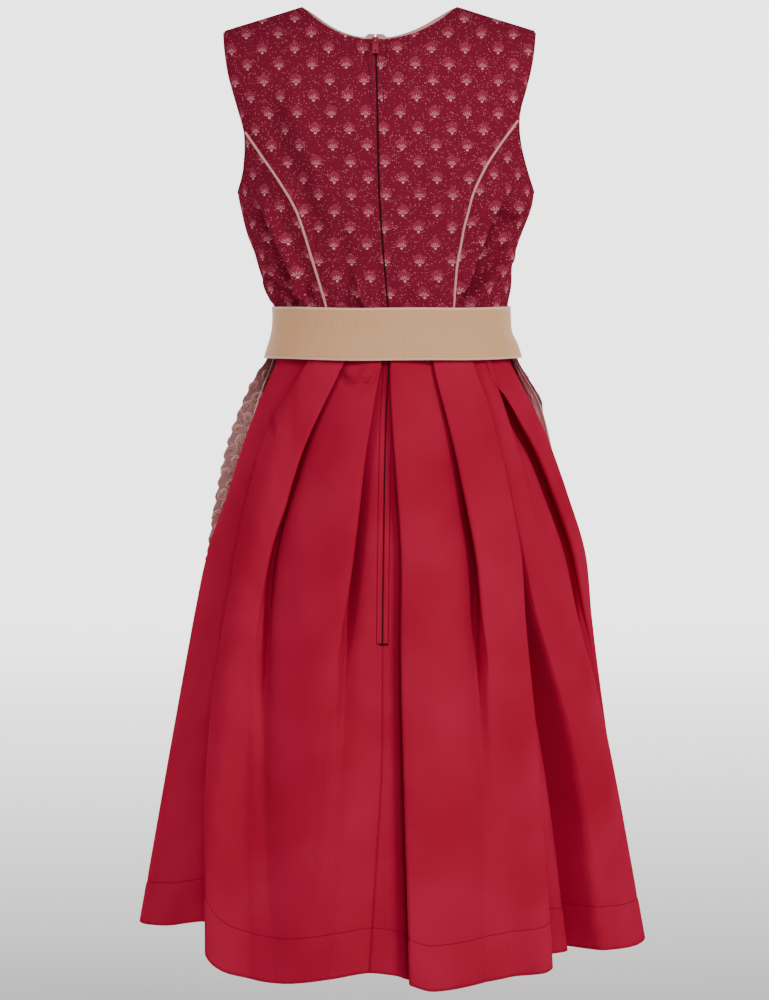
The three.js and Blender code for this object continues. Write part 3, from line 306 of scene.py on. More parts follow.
def crease_height(creases, x, z):
    """How far a list of creases lifts the cloth at a place."""
    lift = 0.0
    for kind, line, width, height in creases:
        reach = 3 * abs(width)
        nearest = None
        for i in range(len(line) - 1):
            (ax, az), (bx, bz) = line[i], line[i + 1]
            dx, dz = bx - ax, bz - az
            t = clamp(((x - ax) * dx + (z - az) * dz) / (dx * dx + dz * dz))
            away = math.hypot(x - ax - t * dx, z - az - t * dz)
            if nearest is None or away < nearest[0]:
                side = (x - ax) * dz - (z - az) * dx
                nearest = (away, (i + t) / (len(line) - 1), math.copysign(1, side))
        away, share, side = nearest
        if away > reach:
            continue
        fade = smooth(share * 4 + 0.15) * smooth((1 - share) * 5 + 0.6)
        q = side * away / width
        if kind == "roll":
            lift += height * fade * math.exp(-q * q)
        else:
            ridge, groove = math.exp(-(1.6 * q - 0.7) ** 2), math.exp(-(1.9 * q + 0.8) ** 2)
            lift += height * fade * (ridge - 0.9 * groove)
    return lift


def cloth(name, across, up, place, cut, material, wall=WALL, offset=-1, axis=(-8, 0), merge=False,
          kind="cloth"):
    """A piece of cloth: a grid whose points go to place(u, v), and whose flat cut is cut(u, v)."""
    grid = bmesh.new()
    bmesh.ops.create_grid(grid, x_segments=across, y_segments=up, size=0.5)
    layer = grid.loops.layers.uv.new("cut")
    at = {v: (v.co.x + 0.5, v.co.y + 0.5) for v in grid.verts}
    for face in grid.faces:
        face.smooth = True
        for loop in face.loops:
            loop[layer].uv = cut(*at[loop.vert])
    for v, (s, t) in at.items():
        v.co = place(s, t) / 1000
    if merge:
        bmesh.ops.remove_doubles(grid, verts=grid.verts, dist=1e-6)
    grid.normal_update()
    centre = Vector((axis[0] / 1000, axis[1] / 1000, 0))
    facing = 0.0
    for face in grid.faces:
        away = face.calc_center_median() - centre
        away.z = 0
        facing += face.normal.dot(away) * face.calc_area()
    if facing < 0:
        bmesh.ops.reverse_faces(grid, faces=grid.faces)
    mesh = bpy.data.meshes.new(f"{name}_{kind}")
    grid.to_mesh(mesh)
    grid.free()
    mesh.materials.append(material)
    piece = bpy.data.objects.new(f"{name}_{kind}", mesh)
    bpy.context.scene.collection.objects.link(piece)
    if wall:
        thick = piece.modifiers.new("thickness", "SOLIDIFY")
        thick.thickness = wall / 1000
        thick.offset = offset
        thick.use_even_offset = False
    return piece


# Woven jacquard, polyester and cotton: a burgundy satin ground with lighter motifs. The floats of the
# motifs catch the light, and the ground is a dull fine twill. Its repeat is 40 mm across, 38 mm along.
jacquard, tree = new_material("jacquard_woven")
flat = add(tree, "ShaderNodeUVMap", uv_map="cut")
part = add(tree, "ShaderNodeSeparateXYZ", {0: flat}).node
raised = add(tree, "ShaderNodeMath", {0: part.outputs[1], 1: 7.0}, operation="ADD")
row = add(tree, "ShaderNodeMath", {0: add(tree, "ShaderNodeMath", {0: raised, 1: 19.0},
                                         operation="DIVIDE")}, operation="FLOOR")
odd = add(tree, "ShaderNodeMath", {0: row, 1: 2.0}, operation="FLOORED_MODULO")
shifted = add(tree, "ShaderNodeMath", {0: odd, 1: 20.0, 2: part.outputs[0]}, operation="MULTIPLY_ADD")
x = add(tree, "ShaderNodeMath", {0: shifted, 1: 20.0, 2: -20.0}, operation="WRAP")
y = add(tree, "ShaderNodeMath", {0: part.outputs[1], 1: 12.0, 2: -7.0}, operation="WRAP")
spot = add(tree, "ShaderNodeCombineXYZ", {0: x, 1: add(tree, "ShaderNodeMath", {0: y, 1: 1.15},
                                                      operation="MULTIPLY")})
radius = add(tree, "ShaderNodeVectorMath", {0: spot}, operation="LENGTH").node.outputs["Value"]
turn = add(tree, "ShaderNodeMath", {0: x, 1: y}, operation="ARCTAN2")
# The bright fan: five rays that leave the middle, longest at the sides.
rays = add(tree, "ShaderNodeMath", {0: add(tree, "ShaderNodeMath", {0: turn, 1: 10.2},
                                          operation="MULTIPLY")}, operation="COSINE")
ray = add(tree, "ShaderNodeMapRange", {0: rays, 1: 0.0, 2: 0.8})
inner = add(tree, "ShaderNodeMapRange", {0: radius, 1: 0.9, 2: 1.5})
outer = add(tree, "ShaderNodeMapRange", {0: radius, 1: 6.6, 2: 4.2})
wide = add(tree, "ShaderNodeMapRange", {0: add(tree, "ShaderNodeMath", {0: turn}, operation="ABSOLUTE"),
                                        1: 1.55, 2: 1.4})
fan = add(tree, "ShaderNodeMath", {0: ray, 1: add(tree, "ShaderNodeMath", {
    0: inner, 1: add(tree, "ShaderNodeMath", {0: outer, 1: wide}, operation="MULTIPLY")},
    operation="MULTIPLY")}, operation="MULTIPLY")
below = add(tree, "ShaderNodeVectorMath", {0: spot, 1: (0.0, -1.7, 0.0)}, operation="DISTANCE").node
seed = add(tree, "ShaderNodeMapRange", {0: below.outputs["Value"], 1: 1.75, 2: 1.3})
bright = add(tree, "ShaderNodeMath", {0: fan, 1: seed}, operation="MAXIMUM")
# The faint lotus behind the fan: a pointed flower with rings of petals in a lighter red.
petal = add(tree, "ShaderNodeMath", {0: add(tree, "ShaderNodeMath", {0: add(
    tree, "ShaderNodeMath", {0: turn, 1: 4.0}, operation="MULTIPLY")}, operation="COSINE")},
    operation="ABSOLUTE")
tall = add(tree, "ShaderNodeMath", {0: add(tree, "ShaderNodeMath", {0: y, 1: 5.0}, operation="SUBTRACT"),
                                    1: 7.4}, operation="DIVIDE")
narrow = add(tree, "ShaderNodeMath", {0: add(tree, "ShaderNodeMath", {0: x}, operation="ABSOLUTE"), 1: 7.4},
             operation="DIVIDE")
spread = add(tree, "ShaderNodeMath", {0: tall, 1: tall, 2: narrow}, operation="MULTIPLY_ADD")
above = add(tree, "ShaderNodeMapRange", {0: y, 1: -1.5, 2: 1.0})
bloom = add(tree, "ShaderNodeMapRange", {0: add(tree, "ShaderNodeMath", {0: petal, 1: -0.14, 2: spread},
                                               operation="MULTIPLY_ADD"), 1: 0.95, 2: 0.8})
ring = add(tree, "ShaderNodeMapRange", {0: add(tree, "ShaderNodeMath", {0: add(
    tree, "ShaderNodeMath", {0: add(tree, "ShaderNodeMath", {0: radius, 1: petal}, operation="ADD"),
                             1: 2.2}, operation="MULTIPLY")}, operation="SINE"), 1: -1.0, 2: 0.6, 3: 0.35})
lotus = add(tree, "ShaderNodeMath", {0: add(tree, "ShaderNodeMath", {0: bloom, 1: above},
                                           operation="MULTIPLY"), 1: ring}, operation="MULTIPLY")
# Single pale picks, 1 mm long, scattered over the ground, and the uneven dye of the yarn.
picks = add(tree, "ShaderNodeTexVoronoi", {"Vector": flat, "Scale": 0.46, "Randomness": 1.0},
            feature="F1").node
pick = add(tree, "ShaderNodeMapRange", {0: picks.outputs["Distance"], 1: 0.3, 2: 0.18})
pick_some = add(tree, "ShaderNodeMapRange", {0: add(tree, "ShaderNodeSeparateColor", {
    0: picks.outputs["Color"]}), 1: 0.25, 2: 0.75})
pick_shown = add(tree, "ShaderNodeMath", {0: pick, 1: pick_some}, operation="MULTIPLY")
yarn = add(tree, "ShaderNodeTexNoise", {"Vector": flat, "Scale": 1.1, "Detail": 4.0})
broken = add(tree, "ShaderNodeMapRange", {0: yarn, 1: 0.38, 2: 0.56})
ground = add(tree, "ShaderNodeMix", {0: add(tree, "ShaderNodeMapRange", {0: yarn, 1: 0.35, 2: 0.65}),
             6: hex_colour("#6D1526"), 7: hex_colour("#86213A")}, data_type="RGBA").node.outputs[2]
lotus_shown = add(tree, "ShaderNodeMath", {0: lotus, 1: add(tree, "ShaderNodeMath", {0: broken, 1: 0.62},
                                                            operation="MULTIPLY")}, operation="MULTIPLY")
with_lotus = add(tree, "ShaderNodeMix", {0: lotus_shown, 6: ground, 7: hex_colour("#BE4C64")},
                 data_type="RGBA").node.outputs[2]
bright_shown = add(tree, "ShaderNodeMath", {0: bright, 1: add(tree, "ShaderNodeMapRange", {
    0: broken, 3: 0.5, 4: 1.0})}, operation="MULTIPLY")
with_fan = add(tree, "ShaderNodeMix", {0: bright_shown, 6: with_lotus, 7: hex_colour("#F0A0AA")},
               data_type="RGBA").node.outputs[2]
coloured = add(tree, "ShaderNodeMix", {
    0: add(tree, "ShaderNodeMath", {0: pick_shown, 1: 0.85}, operation="MULTIPLY"),
    6: with_fan, 7: hex_colour("#DC7C8A")}, data_type="RGBA").node.outputs[2]
twill = add(tree, "ShaderNodeTexWave", {"Vector": flat, "Scale": 0.16, "Distortion": 0.6},
            wave_type="BANDS", bands_direction="DIAGONAL").node.outputs["Fac"]
relief = add(tree, "ShaderNodeMath", {0: bright_shown, 1: add(tree, "ShaderNodeMath", {
    0: twill, 1: 0.3}, operation="MULTIPLY")}, operation="ADD")
bump = add(tree, "ShaderNodeBump", {"Height": relief, "Distance": 0.0004, "Strength": 0.5})
add(tree, "ShaderNodeOutputMaterial", {0: add(tree, "ShaderNodeBsdfPrincipled", {
    "Base Color": coloured, "Roughness": 0.6, "Normal": bump, "Specular IOR Level": 0.0})})

PANEL_ROWS, NECK_ROWS, SEAM_ROWS = 22, 6, 11
PRINCESS_SHARE = SEAM_ROWS / PANEL_ROWS
CENTRE_SHARE = 1 - NECK_ROWS / PANEL_ROWS


def neckline(sign, t, front):
    """The neckline's angle and height, from the centre line (t = 0) to the neck point (t = 1)."""
    turn = t * math.pi / 2
    if front:
        z = NECK_FRONT * max(math.cos(turn), 0) ** SCOOP
        return sign * angle_of(max(NECK_HALF * math.sin(turn) ** SCOOP, SEAM / 2), z), z
    start = centre_angle(NECK_BACK) + sign * (ZIP_OPENING / 2) / read(BODICE, "half", NECK_BACK)
    across = math.sin(turn)
    return lerp(start, sign * angle_of(NECK_HALF, 0), across), NECK_BACK * (1 - across ** 2.15)


def along_edge(table, t, low=None):
    z = lerp(table["z"][0] if low is None else low, table["z"][-1], t)
    return read(table, "x", z), z


def bodice_panel(name, left, right, top, front, across, up, creases):
    """A panel between two side edges and a top edge, each a function that gives (angle, z)."""
    def patch(u, v):
        found = []
        for k in (0, 1):
            corners = lerp(lerp(left(0)[k], right(0)[k], u), lerp(left(1)[k], right(1)[k], u), v)
            sides = lerp(left(v)[k], right(v)[k], u)
            found.append(lerp(lerp(left(0)[k], right(0)[k], u), top(u)[k], v) + sides - corners)
        return found

    cached = {}

    def at(u, v):
        key = round(u, 6), round(v, 6)
        if key not in cached:
            cached[key] = patch(u, v)
        return cached[key]

    def place(u, v):
        angle, z = at(u, v)
        if front:
            angle = math.pi - angle
        flat_place = bodice_point(angle, z)
        edge = smooth(min(u, 1 - u) * 9 + 0.1) * smooth(v * 6 + 0.3) * smooth((1 - v) * 8)
        lift = crease_height(creases, flat_place.x, z) * edge
        lift += 1.1 * edge * noise.noise(Vector((flat_place.x / 34, z / 60, 3.1 if front else 0.4)))
        if not front:
            # The cloth is stitched down beside the zip, and the two rows of stitches part at the top.
            beside = abs(flat_place.x - read(CENTRE_BACK, "x", z)) - lerp(7.2, 13.5, smooth((z + 95) / 52))
            lift -= lerp(0.8, 1.7, smooth((z + 115) / 40)) * math.exp(-(beside / 2.0) ** 2)
        lift = min(lift, 2.2 + 0.8 * max(z + 350, 0))
        return panel_skin(angle, z, lift, front)

    middle = 0.0 if "side" not in name else 0.5 * (left(0.4)[0] + right(0.4)[0])

    def cut(u, v):
        angle, z = at(u, v)
        return arc(angle, z) - arc(middle, z) + (7.0 if front else 0.0), z + (13 if "side" in name else 0)

    return cloth(name, across, up, place, cut, jacquard)


def centre_panel(name, sign, kind, front, creases):
    princess, armhole = PRINCESS[kind], ARMHOLE[kind]
    meet = princess["z"][-1]

    def inner(v):
        if v <= CENTRE_SHARE:
            z = lerp(WAIST, NECK_FRONT if front else NECK_BACK, v / CENTRE_SHARE)
            gap = (SEAM / 2 if front else ZIP_OPENING / 2) / read(BODICE, "half", z)
            return (0 if front else centre_angle(z)) + sign * gap, z
        return neckline(sign, (v - CENTRE_SHARE) / (1 - CENTRE_SHARE), front)

    def outer(v):
        if v <= PRINCESS_SHARE:
            x, z = along_edge(princess, v / PRINCESS_SHARE)
            return sign * angle_of(x, z) - sign * SEAM / 2 / read(BODICE, "half", z), z
        x, z = along_edge(armhole, (v - PRINCESS_SHARE) / (1 - PRINCESS_SHARE), meet)
        return sign * angle_of(x, z), z

    def top(u):
        z = lerp(0, -SHOULDER_DROP, u)
        return sign * angle_of(lerp(NECK_HALF, SHOULDER_HALF, u), z), z

    piece = bodice_panel(name, inner, outer, top, front, 48 if front else 72, 110, creases)
    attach(piece, "dress")
    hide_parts(name)


def side_panel(name, sign, kind, front, creases):
    princess, armhole = PRINCESS[kind], ARMHOLE[kind]
    meet = princess["z"][-1]

    def inner(v):
        x, z = along_edge(princess, v)
        return sign * angle_of(x, z) + sign * SEAM / 2 / read(BODICE, "half", z), z

    def side(v):
        return sign * math.pi / 2, lerp(WAIST, UNDERARM, v)

    start = inner(1)[0] - sign * angle_of(princess["x"][-1], meet)

    def top(u):
        z = lerp(meet, UNDERARM, math.sin(u * math.pi / 2))
        angle = math.pi / 2 if u > 0.9999 else angle_of(read(armhole, "x", z), z)
        return sign * angle + start * (1 - u), z

    piece = bodice_panel(name, inner, side, top, front, 44, 66, creases)
    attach(piece, "dress")
    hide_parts(name)


centre_panel("back_left", 1, "back_left", False, BACK_CREASES)
centre_panel("back_right", -1, "back_right", False, BACK_CREASES)
centre_panel("front_left", 1, "front", True, FRONT_CREASES)
centre_panel("front_right", -1, "front", True, FRONT_CREASES)
side_panel("side_back_left", 1, "back_left", False, BACK_CREASES)
side_panel("side_back_right", -1, "back_right", False, BACK_CREASES)
side_panel("side_front_left", 1, "front", True, FRONT_CREASES)
side_panel("side_front_right", -1, "front", True, FRONT_CREASES)

# ---------------------------------------------------------------- piping and rolled armhole edges
# A cord wrapped in dusty rose satin cut on the bias lies in each back princess seam. Each armhole is
# finished with a narrow rolled edge of the bodice's own cloth, turned to the inside.


def cord_along(name, path, radius, sides, material, closed=False, lumps=0.0):
    """A wrapped cord: path holds places with the directions across and out, in mm."""
    count = len(path) if closed else len(path) - 1
    lengths = [0.0]
    for i in range(count):
        lengths.append(lengths[-1] + (path[(i + 1) % len(path)][0] - path[i][0]).length)

    def place(u, v):
        i = round(v * count)
        spot, across, out = path[i % len(path)]
        turn = 2 * math.pi * u
        r = radius * (1 + lumps * noise.noise(Vector((i * 0.6, radius, 2.7))))
        return spot + across * (r * math.cos(turn)) + out * (r * math.sin(turn))

    def cut(u, v):
        return u * 2 * math.pi * radius, lengths[round(v * count)]

    piece = cloth(name, sides, count, place, cut, material, wall=0, merge=True, kind="cord")
    mesh = bmesh.new()
    mesh.from_mesh(piece.data)
    if not closed:
        bmesh.ops.holes_fill(mesh, edges=[e for e in mesh.edges if e.is_boundary], sides=0)
    bmesh.ops.recalc_face_normals(mesh, faces=mesh.faces)
    mesh.to_mesh(piece.data)
    mesh.free()
    return piece


def surface_path(spots, lift):
    """Places with directions across and out along (angle, z, front) spots on the bodice."""
    places = [panel_skin(angle, z, lift, front) for angle, z, front in spots]
    path = []
    for i, place in enumerate(places):
        along = (places[min(i + 1, len(places) - 1)] - places[max(i - 1, 0)]).normalized()
        out = outward(bodice_point, spots[i][0], spots[i][1])
        out = (out - along * out.dot(along)).normalized()
        path.append((place, out.cross(along), out))
    return path


# Polyester satin cut on the bias: smooth, with a soft broad shine, and fine slanting threads.
rose_satin, tree = new_material("rose_satin")
flat = add(tree, "ShaderNodeUVMap", uv_map="cut")
threads = add(tree, "ShaderNodeTexNoise", {"Vector": add(tree, "ShaderNodeMapping", {
    0: flat, "Rotation": (0, 0, 0.78), "Scale": (0.25, 2.6, 1)}), "Scale": 1.0, "Detail": 2.0})
tone = add(tree, "ShaderNodeMix", {0: add(tree, "ShaderNodeMapRange", {0: threads, 1: 0.3, 2: 0.7}),
           6: hex_colour("#CE8A8C"), 7: hex_colour("#E4A2A2")}, data_type="RGBA").node.outputs[2]
bump = add(tree, "ShaderNodeBump", {"Height": threads, "Distance": 0.0003, "Strength": 0.4})
add(tree, "ShaderNodeOutputMaterial", {0: add(tree, "ShaderNodeBsdfPrincipled", {
    "Base Color": tone, "Roughness": 0.48, "Normal": bump, "Specular IOR Level": 0.3})})

PIPING = 3
for name, sign, kind in (("piping_left", 1, "back_left"), ("piping_right", -1, "back_right")):
    table = PRINCESS[kind]
    spots = []
    for i in range(61):
        z = clamp(lerp(table["z"][-1], WAIST, i / 60), WAIST + 1, table["z"][-1] - 2)
        spots.append((sign * angle_of(read(table, "x", z), z), z, False))
    piece = cord_along(name, surface_path(spots, 0.7), PIPING / 2, 10, rose_satin, lumps=0.12)
    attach(piece, "dress")
    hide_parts(name)

BINDING = 2.6
for name, sign, kind in (("armhole_binding_left", 1, "back_left"),
                         ("armhole_binding_right", -1, "back_right")):
    spots = []
    for front in (False, True):
        table = ARMHOLE["front" if front else kind]
        for i in range(48):
            share = (i + 0.5) / 48
            share = 1 - share if front else share
            z = lerp(-SHOULDER_DROP, UNDERARM, math.sin(share * math.pi / 2))
            angle = sign * angle_of(read(table, "x", z), z)
            spots.append((math.pi - angle if front else angle, z, front))
    edge = [panel_skin(angle, z, -WALL / 2, front) for angle, z, front in spots]
    middle = Vector((sign * (SHOULDER_HALF + 10), 0, -125))
    path = []
    for i, place in enumerate(edge):
        along = (edge[(i + 1) % len(edge)] - edge[i - 1]).normalized()
        out = outward(bodice_point, spots[i][0], spots[i][1])
        out = (out - along * out.dot(along)).normalized()
        across = out.cross(along)
        if across.dot(middle - place) < 0:
            across = -across
        path.append((place + across * (BINDING / 2 - 0.4), across, out))
    piece = cord_along(name, path, BINDING / 2, 8, jacquard, closed=True, lumps=0.1)
    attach(piece, "dress")
    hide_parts(name)

# ---------------------------------------------------------------- neck facing
# A satin facing finishes the neckline from inside. It stands a little above the jacquard, unevenly,
# most on the right, and it is open at the zip, where its folded ends stand up as two small corners.
FACING_RISE = columns(("turn", "rise"), (-180, 3.0), (-120, 3.0), (-75, 3.6), (-60, 3.9), (-40, 3.4),
                      (-22, 2.4), (-11, 2.0), (-9.2, 2.4), (-8.2, 4.6), (-1.5, 5.0), (1.5, 5.0), (8.2, 4.6),
                      (9.2, 2.4), (11, 2.0), (30, 2.2), (45, 2.6), (65, 3.2), (80, 2.6), (120, 3.0),
                      (180, 3.0))
ring = []
for sign, front, order in ((1, False, 1), (1, True, -1), (-1, True, 1), (-1, False, -1)):
    stretch = []
    for i in range(37):
        angle, z = neckline(sign, i / 36, front)
        stretch.append((math.pi - angle if front else angle, z, front))
    ring.extend(stretch[::order])
neck_places = [panel_skin(angle, z, 0, front) for angle, z, front in ring]
neck_frames = []
for i, place in enumerate(neck_places):
    along = (neck_places[min(i + 1, len(ring) - 1)] - neck_places[max(i - 1, 0)]).normalized()
    out = outward(bodice_point, ring[i][0], ring[i][1])
    out = (out - along * out.dot(along)).normalized()
    inwards = out.cross(along)
    if inwards.dot(Vector((0, 0, 10)) - place) < 0:
        inwards = -inwards
    bearing = math.degrees(math.atan2(place.x - 5, place.y))
    neck_frames.append((place, out, inwards, read(FACING_RISE, "rise", bearing, "turn")))


def facing_place(u, v):
    place, out, inwards, rise = neck_frames[round(u * (len(neck_frames) - 1))]
    distance = lerp(-6, rise, v)
    depth = WALL + SEAM + 0.3 + 1.3 * clamp(-distance / 6) + 0.5 * smooth(distance / 6)
    # At the back the free edge stands up rather than lying on with the slope of the shoulder.
    upright = 0.75 * max(distance, 0) * clamp(1.8 * place.y / place.length)
    return place + inwards * distance - out * depth + Vector((0, 0, upright))


facing = cloth("neck_facing", len(neck_frames) - 1, 6, facing_place, lambda u, v: (u * 700, v * 9),
               rose_satin, wall=0.9)
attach(facing, "dress")
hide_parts("neck_facing")

# ---------------------------------------------------------------- skirt
# Three widths of red satin-faced taffeta, gathered into knife pleats and two box pleats under the sash
# and sewn at both sides and below the zip. The hem is turned up 50 mm and stitched.
HEM, ZIP_END = -1098, -735
SKIRT = columns(
    ("z", "half", "mid", "back", "front"),
    (-386, 136, -15, 89, 92), (-420, 142, -16.5, 93, 97), (-468, 163.5, -18.5, 108, 110),
    (-516, 180.5, -19, 128, 126), (-576, 198.5, -19, 152, 147), (-642, 218.5, -17.5, 177, 171),
    (-720, 231.5, -14.5, 200, 193), (-852, 255, -14.5, 233, 225), (-996, 280, -14, 260, 252),
    (-1120, 300.5, -13, 280, 272),
)
HEM_LINE = columns(
    ("turn", "z"),
    (-150, -1098), (-100, -1108), (-80, -1109), (-54, -1099), (-38, -1094), (-33, -1106), (-9, -1117),
    (-4, -1110), (-1, -1104), (6, -1102), (25, -1117), (36, -1112), (41, -1098), (46, -1064), (52, -1066),
    (62, -1078), (90, -1098), (140, -1098), (210, -1098),
)
PLEAT_HEIGHTS = (-386, -450, -530, -650, -850, -1098)
# Each pleat's visible edge in degrees, half its depth, and how far its layers lap, at those heights.
# It faces +1 where the edge looks towards growing angles. A lap below zero has opened into a slope.
PLEATS = {
    "right_front_4": (1, (-109, -110, -111, -112, -113, -112), (2.2, 4, 5, 6, 7, 8),
                      (8, 8, 6, -2, -12, -18)),
    "right_side": (1, (-52, -52, -65, -75, -90, -97), (2.2, 4.5, 7, 7, 3.5, 2), (8, 8, 8, 5, -15, -30)),
    "right_valley": (1, (-46, -45, -44, -43, -53, -56), (0.4, 0.8, 2, 5, 8, 9),
                     (-12, -12, -12, -7, -10, -22)),
    "right_box": (-1, (-40, -39.5, -40.2, -39.6, -37.6, -35), (2.2, 5, 7, 11, 17, 22),
                  (8, 10, 8, 8, 12, 16)),
    "right_inner": (1, (-19, -20.2, -23.3, -26.2, -28, -27), (2.2, 4, 6, 8, 1.5, 0.6),
                    (8, 8, 6, 6, -18, -30)),
    "zip_right": (1, (0.4, 1, -0.6, -2.9, -3.4, -4.6), (2.2, 5, 7, 8, 9, 12), (6, 10, 8, 8, 10, 14)),
    "zip_left": (-1, (3.4, 8.7, 12, 13.4, 17, 20), (2.2, 5, 7, 8, 1.5, 0.6), (6, 10, 8, 6, -18, -30)),
    "left_inner": (-1, (19, 29.5, 38, 41.8, 40, 32), (2.2, 4.5, 6, 7, 1.5, 0.6), (8, 10, 8, 6, -18, -30)),
    "left_box": (1, (38, 47.5, 56.5, 53.5, 51.2, 42), (2.6, 6.5, 8, 10, 14, 20), (8, 10, 8, 8, 10, 14)),
    "left_side": (1, (66, 70, 75, 87, 95, 97), (2.2, 3, 3, 3, 3, 2), (6, 8, 6, 3, -15, -25)),
    "left_front_1": (-1, (104, 112, 117, 118, 118, 118), (2.2, 4, 5, 6, 7, 8), (8, 8, 6, -2, -12, -18)),
    "left_front_2": (-1, (124, 129, 132, 133, 134, 134), (2.2, 4, 5, 6, 7, 9), (8, 9, 6, 0, -10, -16)),
    "left_front_3": (-1, (143, 146, 148, 149, 150, 151), (2.2, 4, 5, 6, 7, 8), (8, 8, 5, -3, -12, -18)),
    "left_front_4": (-1, (162, 163, 164, 165, 166, 167), (2.2, 4, 5, 5, 6, 8), (8, 8, 6, 0, -12, -20)),
    "right_front_1": (1, (190, 189, 188, 187, 186, 185), (2.2, 4, 5, 6, 6, 7), (8, 8, 6, -2, -12, -18)),
    "right_front_2": (1, (210, 208, 206, 205, 203, 202), (2.2, 4, 5, 6, 7, 9), (8, 9, 6, 0, -10, -16)),
    "right_front_3": (1, (230, 228, 226, 225, 224, 222), (2.2, 4, 5, 6, 7, 8), (8, 8, 5, -3, -12, -20)),
}
# How much deeper the lower layer dips where it runs in under a pleat, and how wide that hollow is.
HOLLOWS = {
    "left_side": ((0, 4, 5, 3, 2, 2), 7), "left_box": ((0, 5, 12, 27, 42, 44), 15),
    "left_inner": ((0, 4, 9, 15, 3, 0), 14), "zip_left": ((0, 3, 8, 15, 3, 0), 20),
    "zip_right": ((0, 2, 5, 8, 15, 17), 18), "right_inner": ((0, 3, 6, 16, 4, 0), 20),
    "right_box": ((0, 2, 4, 20, 32, 22), 20), "right_valley": ((0, 0, 2, 14, 32, 38), 27),
    "right_side": ((0, 6, 11, 8, 4, 2), 22),
    "left_front_1": ((0, 2, 5, 8, 10, 12), 22), "left_front_2": ((0, 2, 5, 8, 10, 14), 22),
    "left_front_3": ((0, 2, 5, 8, 10, 12), 22), "left_front_4": ((0, 2, 5, 8, 8, 10), 20),
    "right_front_1": ((0, 2, 5, 8, 8, 10), 20), "right_front_2": ((0, 2, 5, 8, 10, 14), 22),
    "right_front_3": ((0, 2, 5, 8, 10, 12), 22), "right_front_4": ((0, 2, 5, 8, 10, 12), 22),
}
# Seams: only an angle and how deep the cloth lies there.
SEAMS = {
    "right_seam": ((-84, -92, -96, -99, -99, -99), (-2, -3, -3, -3, -2, -1)),
    "centre_back": (None, (-2.2, -5, -7, -8, -9, -12)),
    "left_seam": ((84, 98, 104, 106, 106, 106), (-2, -3, -3, -3, -2, -1)),
    "right_seam_again": ((276, 268, 264, 261, 261, 261), (-2, -3, -3, -3, -2, -1)),
}
BELLY = (0, 1, 2.5, 3.5, 6, 9)
levels = {}


def at_height(values, z):
    """A row of values given at PLEAT_HEIGHTS, read at any height."""
    if values not in levels:
        levels[values] = columns(("z", "value"), *zip(PLEAT_HEIGHTS, values))
    return read(levels[values], "value", z)


def skirt_base(z):
    return {key: read(SKIRT, key, z) for key in ("half", "mid", "back", "front")}


def skirt_point(base, angle, out):
    """A point (x, y) of a level form at an angle, moved out within the level."""
    depth = base["back" if math.cos(angle) > 0 else "front"]
    nx, ny = math.sin(angle) / base["half"], math.cos(angle) / depth
    size = math.hypot(nx, ny)
    return (base["mid"] + base["half"] * math.sin(angle) + nx / size * out,
            depth * math.cos(angle) + ny / size * out)


def arc_rate(base, angle):
    depth = base["back" if math.cos(angle) > 0 else "front"]
    return math.hypot(base["half"] * math.cos(angle), depth * math.sin(angle))


def seam_angle(z, base):
    return math.asin((read(CENTRE_BACK, "x", z) - base["mid"]) / base["half"])


def hem_height(turn):
    return read(HEM_LINE, "z", turn - 360 if turn > 210 else turn, "turn")


def pleat_line(name, z):
    """A pleat's own points at a height, along and out: over the edge, back under it and on again."""
    faces, _, steps, laps = PLEATS[name]
    step, lap = at_height(steps, z), at_height(laps, z)
    nose = clamp(0.5 * step, 0.8, 3.2)
    wide = max(-lap, 0)
    share = smooth((lap + 9) / 14)
    points = []
    for i in range(19):
        t = i / 18
        if t < 1 / 3:
            turn = 3 * math.pi * t
            shut = (nose * math.sin(turn), step / 2 * (1 + math.cos(turn)))
        elif t <= 2 / 3:
            shut = (-lap * (3 * t - 1), 0)
        else:
            turn = 3 * math.pi * (t - 2 / 3)
            shut = (-lap - nose * math.sin(turn), step / 2 * (math.cos(turn) - 1))
        slope = (wide * t, step * math.cos(math.pi * t))
        dip = at_height(HOLLOWS[name][0], z) * smooth(1.6 * t - 0.6) if name in HOLLOWS else 0
        points.append((lerp(slope[0], shut[0], share), lerp(slope[1], shut[1], share) - dip))
    return points if faces > 0 else [(-along, out) for along, out in reversed(points)]


# Small folds, dents and tucks in the skirt's panels, drawn like those of the bodice.
SKIRT_CREASES = (
    ("fold", ((43, -426), (38, -434), (31, -439), (23, -440), (15, -437), (9, -430)), 8, 6.0),
    ("fold", ((129, -472), (124, -484), (122, -498)), 5, 4.0),
    ("roll", ((0, -748), (16, -757)), 5, -1.8),
    ("roll", ((0, -778), (17, -784)), 5, -1.8),
    ("roll", ((-1, -820), (15, -829)), 5, -1.8),
    ("roll", ((-1, -862), (16, -868)), 5, -1.6),
    ("fold", ((-122, -392), (-139, -450), (-165, -530), (-182, -600)), -10, 5.0),
    ("roll", ((-268, -950), (-262, -975)), 7, -2.5),
    ("roll", ((-266, -1042), (-262, -1062)), 6, -2.5),
    ("roll", ((150, -470), (172, -560)), 14, -2.5),
    ("roll", ((98, -560), (84, -720)), 22, 2.5),
    ("roll", ((-62, -620), (-66, -820)), 24, 3.0),
    ("roll", ((60, -820), (52, -1000)), 26, 3.0),
    ("roll", ((166, -760), (186, -960)), 22, 3.0),
    ("roll", ((-232, -760), (-262, -960)), 18, 3.0),
    ("roll", ((-100, -860), (-104, -1040)), 20, 2.5),
)
PANEL_POINTS = 15


